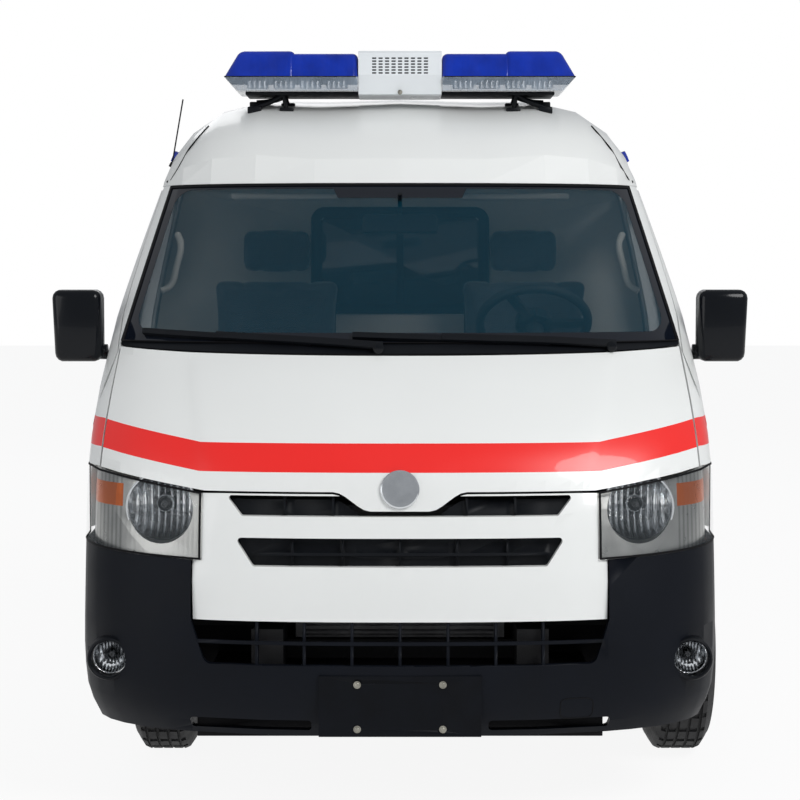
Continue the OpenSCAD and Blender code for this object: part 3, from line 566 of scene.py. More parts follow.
class Tree:
    """Short calls for building a material's node tree."""

    def __init__(self, name: str) -> None:
        """Starts a material with its shader.

        Args:
            name: The material's name.
        """
        self.made = bpy.data.materials.new(name)
        self.made.use_nodes = True
        self.nodes = self.made.node_tree.nodes
        self.links = self.made.node_tree.links
        self.shader = self.nodes["Principled BSDF"]

    def node(self, kind: str, **settings: object) -> bpy.types.Node:
        """Adds a node and sets its properties."""
        made = self.nodes.new(kind)
        for key, value in settings.items():
            setattr(made, key, value)
        return made

    def feed(self, socket: Socket, value: object) -> None:
        """Links a socket, or sets it where the value is plain."""
        if isinstance(value, bpy.types.NodeSocket):
            self.links.new(value, socket)
        else:
            socket.default_value = value

    def math(self, operation: str, *values: object, clamp: bool = False) -> Socket:
        """A math node's result.

        Args:
            operation: The node's operation.
            *values: Its inputs.
            clamp: Whether the result is kept from 0 to 1.

        Returns:
            Its output socket.
        """
        made = self.node("ShaderNodeMath", operation=operation, use_clamp=clamp)
        for socket, value in zip(made.inputs, values):
            self.feed(socket, value)
        return made.outputs[0]

    def place(self) -> Socket:
        """Object coordinates."""
        return self.node("ShaderNodeTexCoord").outputs["Object"]

    def split(self, vector: Socket) -> tuple[Socket, Socket, Socket]:
        """The three parts of a vector."""
        made = self.node("ShaderNodeSeparateXYZ")
        self.links.new(vector, made.inputs[0])
        return made.outputs[0], made.outputs[1], made.outputs[2]

    def noise(self, scale: float, detail: float = 3.0, stretch: Point = (1, 1, 1)) -> Socket:
        """Noise on object coordinates.

        Args:
            scale: Its scale.
            detail: Its detail.
            stretch: How it is scaled along each axis.

        Returns:
            The noise's value.
        """
        mapping = self.node("ShaderNodeMapping")
        mapping.inputs["Scale"].default_value = stretch
        self.links.new(self.place(), mapping.inputs["Vector"])
        made = self.node("ShaderNodeTexNoise")
        made.inputs["Scale"].default_value = scale
        made.inputs["Detail"].default_value = detail
        self.links.new(mapping.outputs[0], made.inputs["Vector"])
        return made.outputs["Fac"]

    def mix(self, share: object, first: object, second: object) -> Socket:
        """Mixes two colours.

        Args:
            share: How much of the second colour shows.
            first: The colour at share 0.
            second: The colour at share 1.

        Returns:
            The mixed colour.
        """
        made = self.node("ShaderNodeMix", data_type="RGBA")
        self.feed(made.inputs["Factor"], share)
        for socket, value in ((made.inputs[6], first), (made.inputs[7], second)):
            self.feed(socket, value if isinstance(value, bpy.types.NodeSocket) else (*value, 1.0))
        return made.outputs[2]

    def between(self, value: Socket, low: float, high: float) -> Socket:
        """Maps the middle of a noise to a range of values."""
        made = self.node("ShaderNodeMapRange")
        made.inputs["From Min"].default_value = 0.3
        made.inputs["From Max"].default_value = 0.7
        made.inputs["To Min"].default_value = low
        made.inputs["To Max"].default_value = high
        self.links.new(value, made.inputs["Value"])
        return made.outputs[0]

    def bump(self, height: Socket, strength: float, distance: float) -> None:
        """Bumps the surface with a height."""
        made = self.node("ShaderNodeBump")
        made.inputs["Strength"].default_value = strength
        made.inputs["Distance"].default_value = distance
        self.links.new(height, made.inputs["Height"])
        self.links.new(made.outputs[0], self.shader.inputs["Normal"])


@dataclass(frozen=True)
class Finish:
    """A surface with slight mottling, uneven gloss and fine grain.

    Attributes:
        name: The material's name.
        color: Its linear colour.
        roughness: Its mean roughness.
        metallic: How metallic it is.
        coat: The weight of a clear coat.
        mottle: The share by which its colour varies.
        mottle_scale: The scale of that variation.
        grain: The strength of its bump.
        grain_scale: The scale of its bump.
        depth: The height of its bump in metres.
        alpha: How solid it is.
        specular: Its specular level.
    """

    name: str
    color: tuple[float, float, float]
    roughness: float = 0.5
    metallic: float = 0.0
    coat: float = 0.0
    mottle: float = 0.1
    mottle_scale: float = 5.0
    grain: float = 0.1
    grain_scale: float = 500.0
    depth: float = 0.0004
    alpha: float = 1.0
    specular: float = 0.5

    def material(self) -> bpy.types.Material:
        """The finish's material, made once."""
        found = bpy.data.materials.get(f"{self.name}_finish")
        return found or self.make()

    def make(self) -> bpy.types.Material:
        """Builds the material.

        Returns:
            The new material.
        """
        tree = Tree(f"{self.name}_finish")
        values = tree.shader.inputs
        values["Metallic"].default_value = self.metallic
        values["Coat Weight"].default_value = self.coat
        values["Coat Roughness"].default_value = 0.04
        values["Specular IOR Level"].default_value = self.specular
        values["Alpha"].default_value = self.alpha
        soft = tree.noise(self.mottle_scale)
        tree.feed(values["Base Color"], self.colour(tree, soft))
        low, high = self.roughness * 0.88, min(1.0, self.roughness * 1.12)
        tree.feed(values["Roughness"], tree.between(soft, low, high))
        if self.grain:
            tree.bump(self.relief(tree), self.grain, self.depth)
        self.extra(tree)
        return tree.made

    def shades(self) -> tuple[tuple[float, ...], tuple[float, ...]]:
        """The darkest and the lightest shade of the colour."""
        dark = tuple(c * (1 - self.mottle) for c in self.color)
        light = tuple(min(1.0, c * (1 + self.mottle)) for c in self.color)
        return dark, light

    def colour(self, tree: Tree, soft: Socket) -> Socket:
        """The mottled colour.

        Args:
            tree: The material's tree.
            soft: A soft noise.

        Returns:
            The colour's socket.
        """
        dark, light = self.shades()
        return tree.mix(tree.between(soft, 0.0, 1.0), dark, light)

    def relief(self, tree: Tree) -> Socket:
        """The height of the grain."""
        return tree.noise(self.grain_scale, 2.0)

    def extra(self, tree: Tree) -> None:
        """Settings that only some finishes have."""


@dataclass(frozen=True)
class StripedPaint(Finish):
    """White body paint with a red waist stripe that dips across the nose.

    Attributes:
        stripe: The stripe's linear colour.
        side_z: The stripe's lower edge on the sides.
        dip: How far it drops on the nose.
        dip_from: The half width of its level middle.
        dip_run: The width over which it rises again.
        width: The stripe's height.
    """

    stripe: tuple[float, float, float] = (0.84, 0.01, 0.006)
    side_z: float = 1.05
    dip: float = 0.052
    dip_from: float = 0.575
    dip_run: float = 0.312
    width: float = 0.079

    def colour(self, tree: Tree, soft: Socket) -> Socket:
        """The paint's colour, red inside the stripe and only on outer faces."""
        white = super().colour(tree, soft)
        x, y, z = tree.split(tree.place())
        nx, ny, _ = tree.split(tree.node("ShaderNodeNewGeometry").outputs["Normal"])
        wide = tree.math("ABSOLUTE", x)
        rise = tree.math("DIVIDE", tree.math("SUBTRACT", wide, self.dip_from), self.dip_run, clamp=True)
        nose = tree.math("LESS_THAN", y, 0.0)
        drop = tree.math("MULTIPLY", tree.math("MULTIPLY", tree.math("SUBTRACT", 1.0, rise), self.dip), nose)
        height = tree.math("SUBTRACT", z, tree.math("SUBTRACT", self.side_z, drop))
        above = tree.math("GREATER_THAN", height, 0.0)
        below = tree.math("LESS_THAN", height, self.width)
        across = tree.math("MULTIPLY", tree.math("MULTIPLY", nx, x), 2.8)
        outward = tree.math("GREATER_THAN", tree.math("MULTIPLY_ADD", ny, y, across), 0.0)
        share = tree.math("MULTIPLY", tree.math("MULTIPLY", above, below), outward)
        return tree.mix(share, white, self.stripe)


@dataclass(frozen=True)
class BandedGlass(Finish):
    """Windscreen glass with a black band round its edge and a deeper one at the mirror.

    Attributes:
        low: The glass's lower edge.
        high: Its upper edge.
        half_low: Its half width at the lower edge.
        half_high: Its half width at the upper edge.
        side: The band's width at the sides.
        base: The band's height at the lower edge.
        top: The band's height at the upper edge.
        corner: The radius of the clear area's corners.
        patch: The deeper band's half width at the upper edge and its lowest Z.
        band: The band's colour.
    """

    low: float = 1.35
    high: float = 1.849
    half_low: float = 0.868
    half_high: float = 0.771
    side: float = 0.036
    base: float = 0.03
    top: float = 0.018
    corner: float = 0.055
    patch: tuple[float, float] = (0.225, 1.8)
    band: tuple[float, float, float] = (0.004, 0.006, 0.011)

    def extra(self, tree: Tree) -> None:
        """Lays the black band over the glass."""
        x, _, z = tree.split(tree.place())
        wide = tree.math("ABSOLUTE", x)
        slope = (self.half_high - self.half_low) / (self.high - self.low)
        half = tree.math("MULTIPLY_ADD", tree.math("SUBTRACT", z, self.low), slope, self.half_low)
        off_side = tree.math("SUBTRACT", half, wide)
        off_low = tree.math("SUBTRACT", z, self.low + self.base)
        off_high = tree.math("SUBTRACT", self.high - self.top, z)
        in_x = tree.math("MAXIMUM", tree.math("SUBTRACT", self.corner + self.side, off_side), 0.0)
        nearest = tree.math("MINIMUM", off_low, off_high)
        in_z = tree.math("MAXIMUM", tree.math("SUBTRACT", self.corner, nearest), 0.0)
        reach = tree.math("SQRT", tree.math("MULTIPLY_ADD", in_x, in_x, tree.math("MULTIPLY", in_z, in_z)))
        rim = tree.math("GREATER_THAN", reach, self.corner)
        slant = tree.math("MULTIPLY_ADD", tree.math("SUBTRACT", self.high, z), -0.5, self.patch[0])
        patch = tree.math("MULTIPLY", tree.math("LESS_THAN", wide, slant),
                          tree.math("GREATER_THAN", z, self.patch[1]))
        black = tree.math("MAXIMUM", rim, patch)
        clear = tree.shader.inputs["Base Color"].links[0].from_socket
        tree.feed(tree.shader.inputs["Base Color"], tree.mix(black, clear, self.band))
        solid = tree.math("MULTIPLY_ADD", black, 1.0 - self.alpha, self.alpha)
        tree.feed(tree.shader.inputs["Alpha"], solid)


@dataclass(frozen=True)
class Fluted(Finish):
    """A moulded lens or reflector with straight flutes.

    Attributes:
        pitch: The distance between flutes in metres.
        along: The axis across which the flutes run.
    """

    pitch: float = 0.012
    along: Axis = Axis.X

    def relief(self, tree: Tree) -> Socket:
        """Round flutes across one axis."""
        part = tree.split(tree.place())[[Axis.X, Axis.Y, Axis.Z].index(self.along)]
        return tree.math("ABSOLUTE", tree.math("SINE", tree.math("MULTIPLY", part, math.pi / self.pitch)))


@dataclass(frozen=True)
class Woven(Finish):
    """Upholstery cloth with a plain weave.

    Attributes:
        thread: The distance between threads in metres.
        sheen: The weight of its sheen.
    """

    thread: float = 0.004
    sheen: float = 0.35

    def relief(self, tree: Tree) -> Socket:
        """Threads that cross at right angles."""
        turn = math.pi / self.thread
        parts = tree.split(tree.place())
        waves = [tree.math("SINE", tree.math("MULTIPLY", part, turn)) for part in parts]
        return tree.math("MULTIPLY", tree.math("ADD", waves[0], waves[1]), waves[2])

    def extra(self, tree: Tree) -> None:
        """Gives the cloth its soft sheen."""
        tree.shader.inputs["Sheen Weight"].default_value = self.sheen
        tree.shader.inputs["Sheen Roughness"].default_value = 0.5


@dataclass(frozen=True)
class Reflector(Fluted):
    """A fluted reflector with painted shade: its flutes' valleys are coloured darker than their crests,
    standing in for darker reflections.

    Attributes:
        valley: The share of the colour that shows down in the flutes' valleys, as painted shade.
    """

    valley: float = 0.55

    def colour(self, tree: Tree, soft: Socket) -> Socket:
        """The reflector's colour, with painted shade darkening it down in its flutes' valleys."""
        # painted shade: the colour darkens towards the flutes' valleys
        dark = tuple(part * self.valley for part in self.color)
        return tree.mix(self.relief(tree), dark, super().colour(tree, soft))


@dataclass(frozen=True)
class LampHousing(Reflector):
    """A chromed housing whose fluted outer end has painted shade in its flutes' valleys and a row of amber
    cells.

    Attributes:
        outer: Where the outer section starts, off the centre line.
        band: The lowest and highest Z of its amber cells.
        amber: The amber's colour.
    """

    outer: float = 0.806
    band: tuple[float, float] = (0.886, 0.95)
    amber: tuple[float, float, float] = (0.6, 0.13, 0.02)

    def colour(self, tree: Tree, soft: Socket) -> Socket:
        """The housing's plain colour, with a fluted outer section that carries painted shade in its flutes'
        valleys, and its amber cells.
        """
        x, _, z = tree.split(tree.place())
        wide = tree.math("GREATER_THAN", tree.math("ABSOLUTE", x), self.outer)
        above = tree.math("GREATER_THAN", z, self.band[0])
        below = tree.math("LESS_THAN", z, self.band[1])
        plain = Finish.colour(self, tree, soft)
        shade = tree.mix(wide, plain, super().colour(tree, soft))
        return tree.mix(tree.math("MULTIPLY", wide, tree.math("MULTIPLY", above, below)), shade, self.amber)


@dataclass(frozen=True)
class BandedLens(Fluted):
    """A rear lamp lens, red with an amber and a clear band.

    Attributes:
        amber: The amber band's lowest and highest Z.
        clear: The clear band's lowest and highest Z.
        tints: The colours of the amber and the clear band.
    """

    amber: tuple[float, float] = (1.12, 1.21)
    clear: tuple[float, float] = (1.035, 1.115)
    tints: tuple[tuple[float, float, float], ...] = ((0.5, 0.1, 0.01), (0.5, 0.5, 0.5))

    def colour(self, tree: Tree, soft: Socket) -> Socket:
        """The lens's colour with its bands."""
        shade = super().colour(tree, soft)
        z = tree.split(tree.place())[2]
        for (low, high), tint in zip((self.amber, self.clear), self.tints):
            share = tree.math("MULTIPLY", tree.math("GREATER_THAN", z, low),
                              tree.math("LESS_THAN", z, high))
            shade = tree.mix(share, shade, tint)
        return shade


@dataclass(frozen=True)
class Tread(Finish):
    """Tyre rubber with cross cuts in its tread and fine rings on its walls.

    Attributes:
        axle: The Y of the wheel's middle.
        hub_z: Its height.
        edge: The radius above which the tread lies.
        cuts: How many cross cuts go round.
        slant: How far the cuts turn for each metre across.
        cut_share: How wide a cut is, as the sine at its edge.
        rings: How tight the rings on the walls are.
        ring_rise: The rings' height, as a share of a cut's depth.
    """

    axle: float = 0.0
    hub_z: float = 0.345
    edge: float = 0.322
    cuts: int = 84
    slant: float = 90.0
    cut_share: float = 0.28
    rings: float = 900.0
    ring_rise: float = 0.12

    def relief(self, tree: Tree) -> Socket:
        """Cross cuts on the tread, slanted with X, and rings below it."""
        x, y, z = tree.split(tree.place())
        along = tree.math("SUBTRACT", y, self.axle)
        up = tree.math("SUBTRACT", z, self.hub_z)
        turn = tree.math("ARCTAN2", up, along)
        round_tyre = tree.math("MULTIPLY", turn, self.cuts / 2)
        slant = tree.math("MULTIPLY_ADD", tree.math("ABSOLUTE", x), self.slant, round_tyre)
        cut_at = tree.math("GREATER_THAN", tree.math("ABSOLUTE", tree.math("SINE", slant)), self.cut_share)
        reach = tree.math("SQRT", tree.math("MULTIPLY_ADD", along, along, tree.math("MULTIPLY", up, up)))
        on_tread = tree.math("GREATER_THAN", reach, self.edge)
        wave = tree.math("SINE", tree.math("MULTIPLY", reach, self.rings))
        rings = tree.math("MULTIPLY", wave, self.ring_rise)
        tread = tree.math("MULTIPLY", cut_at, on_tread)
        return tree.math("MULTIPLY_ADD", tree.math("SUBTRACT", 1.0, on_tread), rings, tread)


WHITE_COAT = {"color": (0.78, 0.79, 0.775), "roughness": 0.34, "coat": 0.35, "mottle": 0.012,
              "mottle_scale": 1.6, "grain": 0.03, "grain_scale": 220, "depth": 0.0003}
PAINT = StripedPaint("body_paint", **WHITE_COAT)
PLAIN_PAINT = Finish("roof_paint", **WHITE_COAT)
BUMPER = Finish("bumper_plastic", (0.003, 0.0042, 0.0075), 0.5, mottle=0.15, grain=0.3, grain_scale=900,
                specular=0.12)
TRIM = Finish("trim_plastic", (0.004, 0.005, 0.007), 0.45, grain=0.25, grain_scale=900, specular=0.15)
GLOSS_TRIM = Finish("gloss_trim", (0.003, 0.004, 0.006), 0.2, coat=0.12, grain=0.05, specular=0.15)
SCREEN = BandedGlass("windscreen_glass", (0.001, 0.04, 0.068), 0.03, mottle=0.05, grain=0.0, alpha=0.34,
                     specular=0.4)
GLASS = Finish("door_glass", (0.004, 0.016, 0.02), 0.03, mottle=0.05, grain=0.0, alpha=0.35)
PRIVACY = Finish("load_space_glass", (0.008, 0.018, 0.022), 0.06, coat=1.0, mottle=0.1, grain=0.0,
                 alpha=0.85)
CLEAR = Finish("clear_lens", (0.2, 0.23, 0.25), 0.04, mottle=0.05, grain=0.0, alpha=0.06, specular=0.5)
# Chrome with painted shade in the valleys of its flutes, standing in for darker reflections.
CHROME = Reflector("lamp_chrome", (0.86, 0.88, 0.9), 0.12, metallic=1.0, mottle=0.1, mottle_scale=30,
                   grain=1.0, depth=0.008, pitch=0.018)
SILVER = Finish("lamp_housing", (0.62, 0.64, 0.66), 0.22, metallic=1.0, mottle=0.08, mottle_scale=20,
                grain=0.05)
# Fog lamp chrome with a lighter painted shade in the valleys of its flutes.
FOG_CHROME = Reflector("fog_chrome", (0.86, 0.88, 0.9), 0.14, metallic=1.0, mottle=0.1, mottle_scale=40,
                       grain=0.3, depth=0.002, pitch=0.009, valley=0.85)
# Lamp moulding whose fluted outer section has painted shade in the valleys of its flutes.
HOUSING = LampHousing("lamp_moulding", (0.4, 0.4, 0.385), 0.3, metallic=1.0, mottle=0.06, mottle_scale=20,
                      grain=0.12, depth=0.001, pitch=0.014)
BULB = Finish("bulb_glass", (0.05, 0.052, 0.056), 0.2, metallic=0.6, mottle=0.2, mottle_scale=40,
              grain=0.05)
PLATE = Finish("plate_black", (0.003, 0.0038, 0.006), 0.4, mottle=0.2, mottle_scale=14, grain=0.08,
               specular=0.1)
TAIL_LENS = BandedLens("tail_lens", (0.36, 0.008, 0.008), 0.12, coat=0.9, mottle=0.1, mottle_scale=20,
                       grain=0.3, depth=0.001, pitch=0.01, along=Axis.Z)
BLUE_LENS = Fluted("blue_lens", (0.001, 0.024, 0.33), 0.13, coat=0.2, specular=0.25, mottle=0.25,
                   mottle_scale=9, grain=0.35, depth=0.0012, pitch=0.03, alpha=0.95)
ICE_LENS = Fluted("bar_clear_lens", (0.32, 0.4, 0.5), 0.14, coat=1.0, mottle=0.2, mottle_scale=14, grain=0.5,
                  depth=0.0015, pitch=0.009, alpha=0.5)
SPEAKER = Finish("speaker_plastic", (0.74, 0.77, 0.79), 0.3, coat=0.2, mottle=0.03, grain=0.08)
AXLES = (1.005, 4.115)  # the setback of the front and the rear axle
TREADS = tuple(Tread(f"tyre_rubber_{name}", (0.013, 0.013, 0.014), 0.75, mottle=0.25, mottle_scale=18,
                     grain=0.8, depth=0.005, axle=s - NOSE) for name, s in zip(("front", "rear"), AXLES))
SEAL = Finish("seal_rubber", (0.004, 0.004, 0.005), 0.6, grain=0.2, specular=0.12)
STEEL = Finish("wheel_silver", (0.42, 0.43, 0.44), 0.34, metallic=0.85, mottle=0.08, mottle_scale=30,
               grain=0.12)
CHASSIS = Finish("chassis_black", (0.008, 0.008, 0.009), 0.6, mottle=0.35, mottle_scale=12, grain=0.4,
                 grain_scale=160, depth=0.001, specular=0.2)
PAN = Finish("underbody_coat", (0.1, 0.102, 0.105), 0.75, mottle=0.25, mottle_scale=8, grain=0.6,
             grain_scale=120, depth=0.0015)
CASTING = Finish("engine_casting", (0.14, 0.14, 0.145), 0.62, metallic=0.6, mottle=0.3, mottle_scale=14,
                 grain=0.6, grain_scale=180, depth=0.001)
PIPE = Finish("exhaust_steel", (0.3, 0.28, 0.26), 0.4, metallic=0.9, mottle=0.3, mottle_scale=10,
              grain=0.2)
DASH = Finish("dash_plastic", (0.018, 0.026, 0.03), 0.62, mottle=0.12, grain=0.4, grain_scale=700)
CLOTH = Woven("seat_cloth", (0.055, 0.065, 0.075), 0.9, mottle=0.25, mottle_scale=10, grain=0.7,
              depth=0.0008)
BEIGE = Finish("cab_trim", (0.62, 0.6, 0.54), 0.6, mottle=0.06, grain=0.25, grain_scale=600)
MIRROR = Finish("mirror_silver", (0.8, 0.82, 0.84), 0.03, metallic=1.0, mottle=0.01, grain=0.0)
BOLT = Finish("zinc_bolt", (0.3, 0.29, 0.25), 0.4, metallic=0.9, mottle=0.3, mottle_scale=60, grain=0.2)


# Sub-assemblies


@dataclass
class BodyShell:
    """The painted panels, glass and plain trim that follow the frame's own solids.

    Attributes:
        smooth: The angle below which panel edges are smooth.
    """

    smooth: float = 24.0

    def build(self) -> None:
        """Copies and dresses each panel."""
        fixed = "body"
        for node, finish, body, slot in (
            ("bonnet", PAINT, "bonnet", "paint"),
            ("fascia", PAINT, fixed, "paint"),
            ("pillars", PAINT, fixed, "paint"),
            ("roof", PLAIN_PAINT, fixed, "paint"),
            ("side_left", PAINT, fixed, "paint"),
            ("side_right", PAINT, fixed, "paint"),
            ("sliding_door", PAINT, fixed, "paint"),
            ("door_left", PAINT, "door_left", "paint"),
            ("door_right", PAINT, "door_right", "paint"),
            ("tailgate", PAINT, "tailgate", "paint"),
            ("bumper_front", BUMPER, fixed, "black_plastic"),
            ("rear_bumper", BUMPER, fixed, "black_plastic"),
            ("mirror_left", GLOSS_TRIM, "door_left", "black_plastic"),
            ("mirror_right", GLOSS_TRIM, "door_right", "black_plastic"),
            ("cowl", TRIM, fixed, "black_plastic"),
            ("grille", TRIM, fixed, "black_plastic"),
            ("windscreen", SCREEN, fixed, "dark_glass"),
            ("glass_left", GLASS, "door_left", "dark_glass"),
            ("glass_right", GLASS, "door_right", "dark_glass"),
            ("side_glass", PRIVACY, fixed, "dark_glass"),
            ("gate_glass", PRIVACY, "tailgate", "dark_glass"),
        ):
            made = panel(node, f"{node}_skin", self.smooth)
            if node == "roof":
                self.square_up(smooth(made, 42))
            place_piece(made, finish, body, slot, node)

    def square_up(self, roof: Object) -> None:
        """Lifts the roof's shoulders to their fuller line.

        Args:
            roof: The roof's copy.
        """
        for vertex in roof.data.vertices:
            vertex.co.z += roof_lift(vertex.co)


@dataclass
class PlainNodes:
    """CAD nodes whose own shape shows, with better finishes."""

    finishes: dict[str, Finish] = field(default_factory=lambda: {
        "floor_pan": PAN, "frame_rails": CHASSIS, "radiator": CASTING, "engine": CASTING,
        "suspension": CHASSIS, "rear_axle": CHASSIS, "fuel_tank": CHASSIS, "exhaust": PIPE,
        "antenna": TRIM,
        "knuckle_left": CHASSIS, "knuckle_right": CHASSIS})

    def build(self) -> None:
        """Gives each node its finish."""
        for name, finish in self.finishes.items():
            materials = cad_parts[name].data.materials
            materials.clear()
            materials.append(finish.material())


@dataclass
class LightBar:
    """The roof light bar: lenses, domes, gaskets, speaker, reflectors and mounts.

    Attributes:
        middle: The setback of its middle.
        half_depth: Half its depth at the split.
        split: The height of the split between its lenses.
        inner: Where the gaskets start, off the middle.
        reach: Where they end.
        left_domes: Each left dome's word, first and last X, top, and how far its end slopes in.
        dome_half: Half a dome's depth.
        dome_taper: The share of its depth that its top keeps.
        dome_round: The radius of its edges.
        feet: How far out a bracket's feet stand.
        pad: Half a foot pad's size.
        lamps: How far out the reflectors stand.
        cup: A reflector's profile.
        stud: The profile of the stud under the speaker.
    """

    middle: float = 1.490
    half_depth: float = 0.1555
    split: float = 2.2215
    inner: float = 0.150
    reach: float = 0.5975
    left_domes: tuple[tuple[str, float, float, float, float], ...] = (
        ("inner", 0.1435, 0.378, 2.3029, 0.0), ("end", 0.358, 0.597, 2.3118, 0.05))
    dome_half: float = 0.1535
    dome_taper: float = 0.8
    dome_round: float = 0.018
    feet: tuple[float, float] = (0.39, 0.5)
    pad: tuple[float, float, float] = (0.024, 0.02, 0.012)
    lamps: tuple[float, ...] = (0.215, 0.305, 0.395, 0.485)
    cup: Profile = ((0.01, 0), (0.024, 0.004), (0.034, 0.016), (0.037, 0.03))
    stud: Profile = ((0.008, 0), (0.008, 0.012), (0.005, 0.016), (0.002, 0.017))

    def build(self) -> None:
        """Builds the bar's pieces."""
        for node, name, finish, slot, width in (
            ("bar_clear", "bar_clear_lenses", ICE_LENS, "clear_lens", 0.005),
            ("bar_speaker", "bar_speaker_case", SPEAKER, "speaker_white", 0.001),
        ):
            made = eased(panel(node, name), width, 28, 4)
            place_piece(smooth(made), finish, "body", slot, node)
        self.domes()
        self.gaskets()
        self.reflectors()
        self.mounts()
        front = self.middle - 0.145
        gauze = block("bar_speaker_gauze", at(-0.1, front + 0.009, 2.228), at(0.1, front + 0.0115, 2.287),
                      0.0005, 1)
        place_piece(gauze, SEAL)
        stud = turned("bar_stud", self.stud, at(0, front + 0.012, 2.1695), Axis.FRONT, 24)
        place_piece(stud, BOLT)

    def gaskets(self) -> None:
        """Lays a dark gasket between the blue and the clear lenses."""
        half = 0.0018
        strip = block("bar_gasket_left", at(self.inner, self.middle - self.half_depth, self.split - half),
                      at(self.reach, self.middle + self.half_depth, self.split + half), 0.0012)
        place_pair(strip, SEAL, "black_plastic")

    def domes(self) -> None:
        """Moulds the blue domes with round edges and sloped faces, and keeps the two side beacons."""
        beacons = outer_skin("bar_blue", "side_beacons", lambda face: face.center.z > self.split - 0.1)
        leave_edit()
        place_piece(smooth(beacons), BLUE_LENS, "body", "blue_lens", "bar_blue")
        foot = self.split + 0.001
        middle = self.middle - NOSE
        for word, start, end, top, slope in self.left_domes:
            dome = block(f"bar_{word}_dome_left", at(start, self.middle - self.dome_half, foot),
                         at(end, self.middle + self.dome_half, top), 0)
            raised = [vertex for vertex in dome.data.vertices if vertex.co.z > foot + 0.01]
            upper = {vertex.index for vertex in raised}
            for vertex in raised:
                vertex.co.x -= slope if vertex.co.x > 0.5 else 0.0
                vertex.co.y = middle + (vertex.co.y - middle) * self.dome_taper
            pick_faces(dome, lambda face: False)
            bpy.ops.mesh.select_mode(type="EDGE")
            leave_edit()
            for edge in dome.data.edges:
                edge.select = not upper.isdisjoint(edge.vertices)
            bpy.ops.object.mode_set(mode="EDIT")
            bpy.ops.mesh.bevel(offset=self.dome_round, segments=5, affect="EDGES")
            leave_edit()
            place_pair(smooth(dome, 40), BLUE_LENS, "blue_lens")

    def mounts(self) -> None:
        """Builds the rail under the bar and the two clamped brackets that stand on the roof."""
        rail = block("bar_rail", at(-0.53, self.middle - 0.09, 2.1642), at(0.53, self.middle + 0.09, 2.1758))
        place_piece(rail, TRIM, "body", "black_plastic", "bar_base")
        half = Vector(self.pad)
        for side in Side:
            parts = []
            for s in (self.middle - 0.06, self.middle + 0.04):
                spots = []
                for x in self.feet:
                    spot = skin_point("roof", at(side.value * x, s, ABOVE), (0, 0, -1))
                    spot.z += roof_lift(spot)
                    spots.append(spot)
                    parts.append(block("pad", spot - half, spot + half, 0.004))
                top = Vector((side.value * 0.40, spots[0].y, 2.168))
                for word, spot, lift, radius in (("strut", spots[1], 0.01, 0.009),
                                                 ("stay", spots[0], 0.006, 0.008)):
                    line = [spot + Vector((0, 0, lift)), (spot + top) / 2, top]
                    parts.append(swept(word, line, radius, 3))
            place_piece(joined(parts, f"bar_bracket_{side.word}"), TRIM)

    def reflectors(self) -> None:
        """Stands chromed reflectors inside the blue domes and flash units in the clear lenses."""
        cups = []
        for k, x in enumerate(self.lamps):
            cups.append(turned(f"cup_{k}", self.cup, at(x, self.middle - 0.05, 2.262), Axis.FRONT, 32))
            low = at(x - 0.036, self.middle - 0.128, 2.183)
            cups.append(block(f"flash_{k}", low, (low[0] + 0.072, low[1] + 0.02, 2.216), 0.004))
        place_pair(joined(cups, "bar_reflectors_left"), CHROME, "lamp_chrome")


